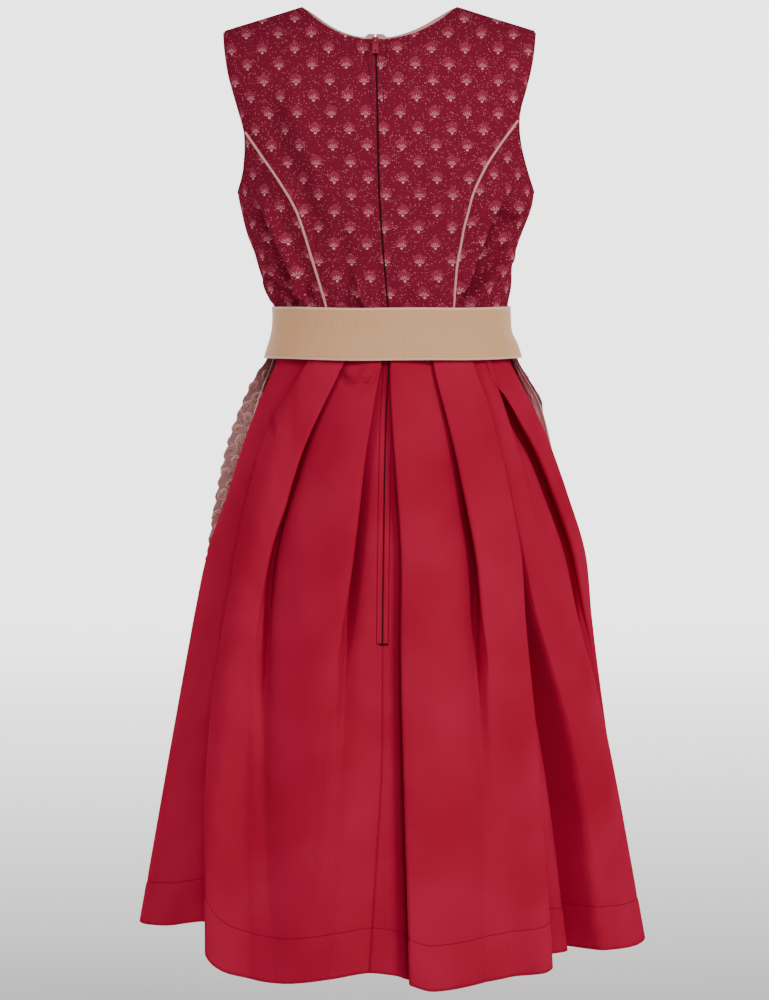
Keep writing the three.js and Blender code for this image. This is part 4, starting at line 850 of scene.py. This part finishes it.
def skirt_line(stretch, z, gaps):
    """The level line of a stretch of skirt between two seams, as (x, y, angle)."""
    base = skirt_base(z)
    stations = []
    for name in stretch:
        if name in SEAMS:
            turns, depths = SEAMS[name]
            angle = math.radians(at_height(turns, z)) if turns else seam_angle(z, base)
            stations.append((angle, [(0, at_height(depths, z))], 0, 0, 1))
        else:
            turns = PLEATS[name][1]
            wrap = 360 if name == "right_front_4" and stretch[0] == "left_seam" else 0
            dips, wide = HOLLOWS.get(name, ((0, 0, 0, 0, 0, 0), 10))
            dip, faces = at_height(dips, z), PLEATS[name][0]
            stations.append((math.radians(at_height(turns, z) + wrap), pleat_line(name, z),
                             dip if faces < 0 else 0, dip if faces > 0 else 0, wide))
    line = []
    for i, (angle, points, _, dip_after, wide) in enumerate(stations):
        rate = arc_rate(base, angle)
        shift = gaps[0] if i == 0 else -gaps[1] if i == len(stations) - 1 else 0
        line += [(angle + (along + shift) / rate, out) for along, out in points]
        if i == len(stations) - 1:
            break
        follow, first = stations[i + 1][0], stations[i + 1][1][0]
        start, end = line[-1], (follow + first[0] / arc_rate(base, follow), first[1])
        width = math.degrees(end[0] - start[0])
        belly = at_height(BELLY, z) * clamp(width / 20, 0, 1.2) ** 2
        for k in range(1, PANEL_POINTS):
            u = k / PANEL_POINTS
            angle_here = lerp(start[0], end[0], u)
            wave = noise.noise(Vector((angle_here * 3.1, z / 420, 5.5))) * smooth((WAIST - z) / 350)
            edge = math.sin(math.pi * u)
            # The hollows beside the pleats at both ends of this panel fade out along it.
            leave, arrive = (angle_here - start[0]) * rate, (end[0] - angle_here) * rate
            hollow = dip_after * math.exp(-(leave / wide) ** 2) * (1 - u)
            hollow += stations[i + 1][2] * math.exp(-(arrive / stations[i + 1][4]) ** 2) * u
            level = lerp(start[1] + dip_after, end[1] + stations[i + 1][2], smooth(u))
            line.append((angle_here, level - hollow + belly * 4 * u * (1 - u)
                         + edge * 5.0 * wave * clamp(width / 20, 0, 1)))
    return [(*skirt_point(base, angle, out), angle) for angle, out in line]


def skirt_width(name, stretch, gap_start, gap_end, rows):
    """One width of the skirt between two seams."""
    lines, runs = [], []
    for r in range(rows + 1):
        level = lerp(HEM, WAIST - SEAM, r / rows)
        line = skirt_line(stretch, level, (gap_start(level), gap_end(level)))
        run = [0.0]
        for a, b in zip(line, line[1:]):
            run.append(run[-1] + math.hypot(b[0] - a[0], b[1] - a[1]))
        lines.append(line)
        runs.append(run)
    count = len(lines[0]) - 1

    def place(u, v):
        r, c = round(v * rows), round(u * count)
        x, y, angle = lines[r][c]
        share = 1 - v
        z = lerp(WAIST - SEAM, hem_height(math.degrees(angle)), share)
        ahead, behind = lines[r][min(c + 1, count)], lines[r][max(c - 1, 0)]
        dx, dy = ahead[0] - behind[0], ahead[1] - behind[1]
        size = math.hypot(dx, dy) or 1
        lift = crease_height(SKIRT_CREASES, x, z) * smooth(y / 50)
        # The turned-up hem is a second layer inside, so it stands a little proud of its stitches.
        hem_over = (z - hem_height(math.degrees(angle)))
        lift += 0.5 * smooth((52 - hem_over) / 4) - 0.7 * math.exp(-((hem_over - 50) / 4) ** 2)
        return Vector((x - dy / size * lift, y + dx / size * lift, z))

    def cut(u, v):
        r, c = round(v * rows), round(u * count)
        x, y, angle = lines[r][c]
        sewn = -(runs[r][-1] - runs[r][c]) if stretch[-1] == "centre_back" else runs[r][c]
        share = 1 - v
        z = lerp(WAIST - SEAM, hem_height(math.degrees(angle)), share)
        return sewn, z - hem_height(math.degrees(angle))

    piece = cloth(name, count, rows, place, cut, taffeta, wall=0.9, offset=0)
    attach(piece, "dress")
    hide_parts(name)


# Satin-faced polyester taffeta: a smooth warp face with a broad soft shine, slightly uneven in the
# dye, with fine ribs across. Stitches show 50 mm above the hem and 6 mm beside the zip.
taffeta, tree = new_material("taffeta_satin_faced")
flat = add(tree, "ShaderNodeUVMap", uv_map="cut")
part = add(tree, "ShaderNodeSeparateXYZ", {0: flat}).node
ribs = add(tree, "ShaderNodeTexNoise", {"Vector": add(tree, "ShaderNodeMapping", {
    0: flat, "Scale": (0.12, 1.1, 1)}), "Scale": 1.0, "Detail": 2.0})
dye = add(tree, "ShaderNodeTexNoise", {"Vector": flat, "Scale": 0.008, "Detail": 2.0})
red = add(tree, "ShaderNodeMix", {0: add(tree, "ShaderNodeMapRange", {0: dye, 1: 0.35, 2: 0.65}),
          6: hex_colour("#A41A34"), 7: hex_colour("#B0203E")}, data_type="RGBA").node.outputs[2]
across = add(tree, "ShaderNodeMath", {0: add(tree, "ShaderNodeMath", {0: part.outputs[1], 1: 50.0},
             operation="SUBTRACT")}, operation="ABSOLUTE")
hem_stitch = add(tree, "ShaderNodeMapRange", {0: across, 1: 0.9, 2: 0.4})
gap = add(tree, "ShaderNodeMapRange", {0: add(tree, "ShaderNodeMath", {0: add(
    tree, "ShaderNodeMath", {0: part.outputs[0], 1: 2.1}, operation="MULTIPLY")}, operation="SINE"),
    1: -0.6, 2: -0.2})
hem_line = add(tree, "ShaderNodeMath", {0: hem_stitch, 1: gap}, operation="MULTIPLY")
beside = add(tree, "ShaderNodeMath", {0: add(tree, "ShaderNodeMath", {0: add(
    tree, "ShaderNodeMath", {0: part.outputs[0]}, operation="ABSOLUTE"), 1: 6.0},
    operation="SUBTRACT")}, operation="ABSOLUTE")
zip_stitch = add(tree, "ShaderNodeMath", {0: add(tree, "ShaderNodeMapRange", {0: beside, 1: 0.8, 2: 0.3}),
                 1: add(tree, "ShaderNodeMapRange", {0: part.outputs[1], 1: 360.0, 2: 364.0})},
                 operation="MULTIPLY")
stitched = add(tree, "ShaderNodeMath", {0: hem_line, 1: zip_stitch}, operation="MAXIMUM")
seamed = add(tree, "ShaderNodeMix", {0: add(tree, "ShaderNodeMath", {0: stitched, 1: 0.55},
             operation="MULTIPLY"), 6: red, 7: hex_colour("#4E0612")}, data_type="RGBA").node.outputs[2]
height = add(tree, "ShaderNodeMath", {0: stitched, 1: -2.0, 2: ribs}, operation="MULTIPLY_ADD")
bump = add(tree, "ShaderNodeBump", {"Height": height, "Distance": 0.0002, "Strength": 0.35})
add(tree, "ShaderNodeOutputMaterial", {0: add(tree, "ShaderNodeBsdfPrincipled", {
    "Base Color": seamed, "Roughness": 0.6, "Normal": bump, "Specular IOR Level": 0.0,
    "Sheen Weight": 0.12, "Sheen Roughness": 0.35, "Sheen Tint": hex_colour("#D82A50")})})


def zip_gap(z):
    return ZIP_OPENING / 2 - 0.2 if z > ZIP_END else 0.0


def no_gap(z):
    return 0.0


skirt_width("skirt_back_right", ["right_seam", "right_side", "right_valley", "right_box", "right_inner",
                                 "zip_right", "centre_back"], no_gap, zip_gap, 130)
skirt_width("skirt_back_left", ["centre_back", "zip_left", "left_inner", "left_box", "left_side",
                                "left_seam"], zip_gap, no_gap, 130)
skirt_width("skirt_front", ["left_seam", "left_front_1", "left_front_2", "left_front_3", "left_front_4",
                            "right_front_1", "right_front_2", "right_front_3", "right_front_4",
                            "right_seam_again"], no_gap, no_gap, 90)

# ---------------------------------------------------------------- zip
# A dress zip with two woven tapes behind the slit. Its coils of polyester lie edge to edge in the middle,
# and it ends in a bar of stitches under the waist. An enamelled slider carries a pull tab with two holes.
ZIP_TAPE = 11


def zip_spot(z):
    """The middle of the zip at a height: its place on the cloth's outside and the way out."""
    if z > WAIST:
        angle = centre_angle(z)
        return panel_skin(angle, z, 0, False), outward(bodice_point, angle, z)
    base = skirt_base(z)
    angle = seam_angle(z, base)
    share = (WAIST - SEAM - z) / (WAIST - SEAM - HEM)
    x, y = skirt_point(base, angle, at_height(SEAMS["centre_back"][1], z) + WALL / 2)
    height = lerp(WAIST - SEAM, hem_height(math.degrees(angle)), share)
    return Vector((x, y, height)), Vector((math.sin(angle), math.cos(angle), 0))


zip_tape, tree = new_material("zip_tape_woven")
# Woven polyester tape: matt, close herringbone ribs about a millimetre wide.
flat = add(tree, "ShaderNodeUVMap", uv_map="cut")
ribs = add(tree, "ShaderNodeTexWave", {"Vector": flat, "Scale": 0.32, "Distortion": 1.0},
           wave_type="BANDS", bands_direction="DIAGONAL").node.outputs["Fac"]
bump = add(tree, "ShaderNodeBump", {"Height": ribs, "Distance": 0.0003, "Strength": 0.5})
tone = add(tree, "ShaderNodeMix", {0: ribs, 6: hex_colour("#3E0A14"), 7: hex_colour("#571221")},
           data_type="RGBA").node.outputs[2]
add(tree, "ShaderNodeOutputMaterial", {0: add(tree, "ShaderNodeBsdfPrincipled", {
    "Base Color": tone, "Roughness": 0.8, "Normal": bump})})

for name, sign in (("zip_tape_left", 1), ("zip_tape_right", -1)):
    def tape_place(u, v, sign=sign):
        z = lerp(ZIP_END - 3, NECK_BACK - 6, v)
        spot, out = zip_spot(z)
        across = Vector((out.y, -out.x, 0)).normalized()
        under = WALL + SEAM + 0.3 + (0.7 if z > NECK_BACK - 20 else 0) + (2 if abs(z - WAIST) < 4 else 0)
        return spot + across * sign * lerp(0.2, ZIP_TAPE, u) - out * under

    piece = cloth(name, 6, 130, tape_place, lambda u, v: (u * ZIP_TAPE, v * 690), zip_tape, wall=0.8)
    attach(piece, "dress")
    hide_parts(name)

coil, tree = new_material("zip_coil_polyester")
# Polyester monofilament: smooth and dark, it gives small glints.
add(tree, "ShaderNodeOutputMaterial", {0: add(tree, "ShaderNodeBsdfPrincipled", {
    "Base Color": hex_colour("#2C060D"), "Roughness": 0.6, "Specular IOR Level": 0.15})})
coils = bmesh.new()
spots = [lerp(NECK_BACK - 10, ZIP_END + 2, i / 440) for i in range(441)]
for i, z in enumerate(spots):
    spot, out = zip_spot(z)
    across = Vector((out.y, -out.x, 0)).normalized()
    centre = spot - out * (WALL + 0.1) + across * (0.5 if i % 2 else -0.5)
    loop = bmesh.ops.create_cone(coils, cap_ends=True, segments=6, radius1=0.55, radius2=0.55, depth=2.2)
    for v in loop["verts"]:
        v.co = (centre + across * v.co.z + out * v.co.x * 0.8 + Vector((0, 0, 1)) * v.co.y) / 1000
for k in range(4):
    # The bar of stitches across the zip's lower end.
    spot, out = zip_spot(ZIP_END + 1 - 0.7 * k)
    across = Vector((out.y, -out.x, 0)).normalized()
    thread = bmesh.ops.create_cone(coils, cap_ends=True, segments=6, radius1=0.28, radius2=0.28, depth=12)
    for v in thread["verts"]:
        v.co = (spot + across * v.co.z + out * (v.co.x + 0.5) + Vector((0, 0, 1)) * v.co.y) / 1000
coil_mesh = bpy.data.meshes.new("zip_coils")
coils.to_mesh(coil_mesh)
coils.free()
coil_mesh.materials.append(coil)
zip_coils = bpy.data.objects.new("zip_coils", coil_mesh)
bpy.context.scene.collection.objects.link(zip_coils)
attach(zip_coils, "dress")
core = []
for z in spots[::4]:
    spot, out = zip_spot(z)
    core.append((spot - out * (WALL + 1.0), Vector((out.y, -out.x, 0)).normalized(), out))
zip_core = cord_along("zip_core", core, 1.35, 8, coil)
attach(zip_core, "dress")
# Two rows of stitches hold the cloth's turned edges beside the zip, and part towards the neck. They are
# drawn as thin cords in the coil's near-black, which also makes them painted shadow lines along those
# turned edges.
for name, sign in (("zip_stitch_and_shadow_left", 1), ("zip_stitch_and_shadow_right", -1)):
    row = []
    for i in range(31):
        z = lerp(NECK_BACK - 0.5, -118, i / 30)
        x = read(CENTRE_BACK, "x", z) + sign * lerp(7.2, 13.5, smooth((z + 95) / 52))
        angle = angle_of(x - read(BODICE, "mid", z), z)
        lift = 1.1 * noise.noise(Vector((x / 34, z / 60, 0.4))) - lerp(0.8, 1.7, smooth((z + 115) / 40))
        row += surface_path([(angle, z + 0.5, False), (angle, z - 0.5, False)], lift + 0.35)[:1]
    thread = cord_along(name, row, 0.5, 6, coil)
    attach(thread, "dress")

enamel, tree = new_material("zip_enamel")
# Zinc with a baked burgundy enamel: glossy, with the dark metal showing through where it rubs.
scuffs = add(tree, "ShaderNodeTexNoise", {"Vector": add(tree, "ShaderNodeTexCoord").node.outputs["Object"],
                                          "Scale": 900.0, "Detail": 3.0})
tone = add(tree, "ShaderNodeMix", {0: add(tree, "ShaderNodeMapRange", {0: scuffs, 1: 0.45, 2: 0.7}),
           6: hex_colour("#B6384E"), 7: hex_colour("#802432")}, data_type="RGBA").node.outputs[2]
add(tree, "ShaderNodeOutputMaterial", {0: add(tree, "ShaderNodeBsdfPrincipled", {
    "Base Color": tone, "Roughness": 0.38, "Metallic": 0.15})})
for name, body in (("zip_slider", "dress"), ("zip_pull", "pull")):
    shape = bmesh.new()
    shape.from_mesh(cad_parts[name].data)
    bmesh.ops.remove_doubles(shape, verts=shape.verts, dist=1e-6)
    bmesh.ops.dissolve_limit(shape, angle_limit=0.02, verts=shape.verts, edges=shape.edges)
    sharp = [e for e in shape.edges if len(e.link_faces) == 2 and e.calc_face_angle() > 0.6]
    bmesh.ops.bevel(shape, geom=sharp, offset=0.00022, segments=2, profile=0.5, affect="EDGES", material=-1,
                    clamp_overlap=True)
    mesh = bpy.data.meshes.new(name + "_enamelled")
    shape.to_mesh(mesh)
    shape.free()
    mesh.shade_smooth()
    mesh.materials.append(enamel)
    piece = bpy.data.objects.new(name + "_enamelled", mesh)
    bpy.context.scene.collection.objects.link(piece)
    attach(piece, body)
    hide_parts(name)

# ---------------------------------------------------------------- apron
# A gathered apron tied over the skirt: a smooth rose lining, and over it a lace of corded rosettes on a
# fine net. The lace reaches past the lining at both sides, and its left edge curls outwards.
APRON_HEM = -1026
APRON = columns(
    ("z", "left", "right", "clear", "gather", "curl"),
    (-384, 95, 270, 3.2, 0, 0), (-417, 99.5, 268, 4.6, 0.5, 3), (-432, 102, 266, 6.2, 1.2, 8),
    (-468, 108, 262, 10.5, 3.5, 11.5), (-516, 110, 256, 12, 5.5, 15), (-576, 112, 250, 14, 7, 13),
    (-650, 115, 247, 15, 8.5, 6),
    (-850, 120, 242, 20, 12, 4), (-1026, 123, 238, 23, 15, 6),
)
GATHERS, LACE_LEFT, LACE_RIGHT = 9, 16, 6


def apron_point(t, z, lift):
    """A point of the apron at a share t of the way from its left edge to its right one."""
    base = skirt_base(z)
    left, right = (math.radians(read(APRON, key, z)) for key in ("left", "right"))
    beyond = LACE_LEFT / (base["half"] * (right - left))
    ripple = 2 * math.pi * (GATHERS * t + 0.35 * noise.noise(Vector((t * 5, z / 300, 8.2))))
    wave = read(APRON, "gather", z) * (0.5 - 0.5 * math.cos(ripple))
    out = read(APRON, "clear", z) + wave + read(APRON, "curl", z) * max(-t, 0) / beyond + lift
    # The right edge flares: a little way in from it the apron lies closer to the skirt.
    inside = (1 - t) * base["half"] * (right - left)
    out -= (read(APRON, "clear", z) - 2) * math.exp(-((inside - 19) / 9) ** 2) * smooth((z + 700) / 120)
    x, y = skirt_point(base, lerp(left, right, t), out)
    return Vector((x, y, z))


def apron_height(v):
    return lerp(APRON_HEM, WAIST + 2, v)


def apron_width(z):
    base = skirt_base(z)
    return base["half"] * math.radians(read(APRON, "right", z) - read(APRON, "left", z))


# Polyester lining satin: pale rose, smooth and soft, with fine threads along it.
lining_satin, tree = new_material("lining_satin")
flat = add(tree, "ShaderNodeUVMap", uv_map="cut")
threads = add(tree, "ShaderNodeTexNoise", {"Vector": add(tree, "ShaderNodeMapping", {
    0: flat, "Scale": (2.2, 0.12, 1)}), "Scale": 1.0, "Detail": 2.0})
tone = add(tree, "ShaderNodeMix", {0: add(tree, "ShaderNodeMapRange", {0: threads, 1: 0.3, 2: 0.7}),
           6: hex_colour("#F4D8D8"), 7: hex_colour("#FCE8E6")}, data_type="RGBA").node.outputs[2]
bump = add(tree, "ShaderNodeBump", {"Height": threads, "Distance": 0.0002, "Strength": 0.3})
add(tree, "ShaderNodeOutputMaterial", {0: add(tree, "ShaderNodeBsdfPrincipled", {
    "Base Color": tone, "Roughness": 0.5, "Normal": bump, "Specular IOR Level": 0.1})})
lining = cloth("apron_lining", 150, 80, lambda u, v: apron_point(u, apron_height(v), WALL),
               lambda u, v: (u * 900, v * 642), lining_satin, wall=0.9)
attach(lining, "dress")
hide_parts("apron_lining")

# Viscose cord on nylon net: soft matt cords in dusty rose over a darker ground.
lace_net, tree = new_material("lace_net_nylon")
flat = add(tree, "ShaderNodeUVMap", uv_map="cut")
mesh_cells = add(tree, "ShaderNodeTexVoronoi", {"Vector": flat, "Scale": 0.55}, feature="DISTANCE_TO_EDGE")
tone = add(tree, "ShaderNodeMix", {0: add(tree, "ShaderNodeMapRange", {0: mesh_cells, 1: 0.05, 2: 0.3}),
           6: hex_colour("#D2A6A2"), 7: hex_colour("#9A7074")}, data_type="RGBA").node.outputs[2]
bump = add(tree, "ShaderNodeBump", {"Height": mesh_cells, "Distance": 0.0006, "Strength": 0.6})
add(tree, "ShaderNodeOutputMaterial", {0: add(tree, "ShaderNodeBsdfPrincipled", {
    "Base Color": tone, "Roughness": 0.85, "Normal": bump, "Specular IOR Level": 0.1})})
lace_cord, tree = new_material("lace_cord_viscose")
flat = add(tree, "ShaderNodeUVMap", uv_map="cut")
plies = add(tree, "ShaderNodeTexWave", {"Vector": flat, "Scale": 0.5, "Distortion": 0.5},
            wave_type="BANDS", bands_direction="DIAGONAL").node.outputs["Fac"]
mottle = add(tree, "ShaderNodeTexNoise", {"Vector": add(tree, "ShaderNodeTexCoord").node.outputs["Object"],
                                          "Scale": 60.0})
tone = add(tree, "ShaderNodeMix", {0: add(tree, "ShaderNodeMapRange", {0: mottle, 1: 0.35, 2: 0.65}),
           6: hex_colour("#E0AEA8"), 7: hex_colour("#F8CCC4")}, data_type="RGBA").node.outputs[2]
bump = add(tree, "ShaderNodeBump", {"Height": plies, "Distance": 0.0003, "Strength": 0.5})
add(tree, "ShaderNodeOutputMaterial", {0: add(tree, "ShaderNodeBsdfPrincipled", {
    "Base Color": tone, "Roughness": 0.7, "Normal": bump, "Sheen Weight": 0.15})})


def lace_point(u, z, lift):
    """A point of the lace at a share u from its own left edge to its right one, past the lining."""
    width = apron_width(z)
    # Below the hips the lace's right edge is turned in, so only the lining shows there.
    reach = lerp(-8, LACE_RIGHT, smooth((z + 492) / 24))
    t = lerp(-LACE_LEFT / width, 1 + reach / width, u)
    return apron_point(t, z, 2 * WALL + SEAM + lift)


def net_place(u, v):
    z = apron_height(v)
    edge = max(1 - u * 60, 1 - (1 - u) * 120, 0)
    scallop = 2.2 * edge * math.cos(2 * math.pi * z / 17)
    width = apron_width(z) + LACE_LEFT + LACE_RIGHT
    shift = scallop / width * (1 if u < 0.5 else -1)
    return lace_point(clamp(u + shift), z, 0)


net = cloth("apron_lace", 190, 150, net_place, lambda u, v: (u * 900, v * 642), lace_net, wall=0.3,
            offset=0)
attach(net, "dress")
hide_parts("apron_lace")

ROSETTE, CORD, PITCH = 18.0, 1.3, 15.0
TURNS, SEGMENTS = 2.6, 17
cords = bmesh.new()
layer = cords.loops.layers.uv.new("cut")
rows = int((WAIST - 34 - APRON_HEM) / (PITCH * 0.9))
for r in range(rows):
    z0 = APRON_HEM + 9 + r * PITCH * 0.9
    width = apron_width(z0) + LACE_LEFT + LACE_RIGHT
    length = sum((lace_point((i + 1) / 60, z0, 0) - lace_point(i / 60, z0, 0)).length for i in range(60))
    count = int(length / PITCH)
    for c in range(count + 1):
        u0 = (c + (0.9 if r % 2 else 0.44)) / (count + 0.6)
        if u0 > 0.985:
            continue
        spin = (r * 2.4 + c * 1.7) % 6.3
        u0 += 0.22 / count * noise.noise(Vector((r * 1.3, c * 1.1, 2.2)))
        size = 1 + 0.4 * noise.noise(Vector((r * 0.9, c * 0.8, 4.4)))
        long = 1.12 + 0.45 * noise.noise(Vector((r * 1.1, c * 1.4, 7.7)))
        spot = lace_point(u0, z0, 0)
        across = (lace_point(u0 + 0.004, z0, 0) - lace_point(u0 - 0.004, z0, 0)).normalized()
        down = (lace_point(u0, z0 + 2, 0) - lace_point(u0, z0 - 2, 0)).normalized()
        out = down.cross(across)
        grid = bmesh.ops.create_grid(cords, x_segments=3, y_segments=SEGMENTS, size=0.5)
        at = {v: (v.co.x + 0.5, v.co.y + 0.5) for v in grid["verts"]}
        for face in {f for v in grid["verts"] for f in v.link_faces}:
            face.smooth = True
            for loop in face.loops:
                u, v = at[loop.vert]
                loop[layer].uv = (u * 3, v * 70)
        for vert, (u, v) in at.items():
            turn = 2 * math.pi * TURNS * v
            away = lerp(1.2, (ROSETTE / 2 - 1.1) * size, v ** 0.8)
            ridge = 2 * math.pi * u
            r_here = away + CORD * math.cos(ridge)
            high = -0.15 + CORD * math.sin(ridge)
            along, aside = r_here * math.cos(turn) * long, r_here * math.sin(turn) / long
            vert.co = (spot + across * (along * math.cos(spin) - aside * math.sin(spin))
                       + down * (along * math.sin(spin) + aside * math.cos(spin)) + out * high) / 1000
bmesh.ops.remove_doubles(cords, verts=cords.verts, dist=1e-7)
bmesh.ops.recalc_face_normals(cords, faces=cords.faces)
cord_mesh = bpy.data.meshes.new("apron_lace_cords")
cords.to_mesh(cord_mesh)
cords.free()
cord_mesh.materials.append(lace_cord)
rosettes = bpy.data.objects.new("apron_lace_cords", cord_mesh)
bpy.context.scene.collection.objects.link(rosettes)
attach(rosettes, "dress")

# ---------------------------------------------------------------- sash
# A 60 mm satin ribbon round the waist, over the top of the apron and the skirt's pleats. Each edge has
# a narrow pale rose border. Its ends lap flat at the middle of the front.
SASH_TOP, SASH_BOTTOM, SASH_LAP = -355, -416, 60
SASH = columns(
    ("z", "half", "mid", "back", "front"),
    (-355, 143, -14, 97, 99.3), (-370, 143, -14.3, 95.8, 99.5), (-386, 144.6, -14.3, 96, 102.5),
    (-400, 150, -15.8, 99, 106), (-416, 155, -16, 102.5, 110.5),
)
lap_angle = SASH_LAP / 2 / read(SASH, "half", WAIST)

ribbon, tree = new_material("ribbon_satin")
# Polyester satin ribbon: close, smooth and half-matt, with a paler woven border 2 mm wide.
flat = add(tree, "ShaderNodeUVMap", uv_map="cut")
part = add(tree, "ShaderNodeSeparateXYZ", {0: flat}).node
threads = add(tree, "ShaderNodeTexNoise", {"Vector": add(tree, "ShaderNodeMapping", {
    0: flat, "Scale": (2.2, 0.06, 1)}), "Scale": 1.0, "Detail": 2.0})
tone = add(tree, "ShaderNodeMix", {0: add(tree, "ShaderNodeMapRange", {0: threads, 1: 0.3, 2: 0.7}),
           6: hex_colour("#DAA478"), 7: hex_colour("#E6B184")}, data_type="RGBA").node.outputs[2]
from_middle = add(tree, "ShaderNodeMath", {0: add(tree, "ShaderNodeMath", {0: part.outputs[1], 1: 30.5},
                  operation="SUBTRACT")}, operation="ABSOLUTE")
border = add(tree, "ShaderNodeMapRange", {0: from_middle, 1: 28.0, 2: 28.5})
edged = add(tree, "ShaderNodeMix", {0: border, 6: tone, 7: hex_colour("#F6C8B0")},
            data_type="RGBA").node.outputs[2]
height = add(tree, "ShaderNodeMath", {0: border, 1: 2.0, 2: threads}, operation="MULTIPLY_ADD")
bump = add(tree, "ShaderNodeBump", {"Height": height, "Distance": 0.0002, "Strength": 0.4})
add(tree, "ShaderNodeOutputMaterial", {0: add(tree, "ShaderNodeBsdfPrincipled", {
    "Base Color": edged, "Roughness": 0.5, "Normal": bump, "Specular IOR Level": 0.08})})


def sash_place(u, v):
    angle = lerp(-math.pi - lap_angle, math.pi + lap_angle, u)
    z = lerp(SASH_BOTTOM, SASH_TOP, v)
    base = {key: read(SASH, key, z) for key in ("half", "mid", "back", "front")}
    lift = (WALL + SEAM) * smooth((angle - (math.pi - 2.4 * lap_angle)) / (1.2 * lap_angle))
    lift += 0.5 * noise.noise(Vector((angle * 2.4, z / 40, 1.2)))
    return Vector((*skirt_point(base, angle, lift), z + 0.8 * noise.noise(Vector((angle * 1.6, 0.5, 9.0)))))


sash = cloth("sash", 260, 14, sash_place, lambda u, v: (u * 900, v * 61), ribbon, wall=1.0)
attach(sash, "dress")
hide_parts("sash")
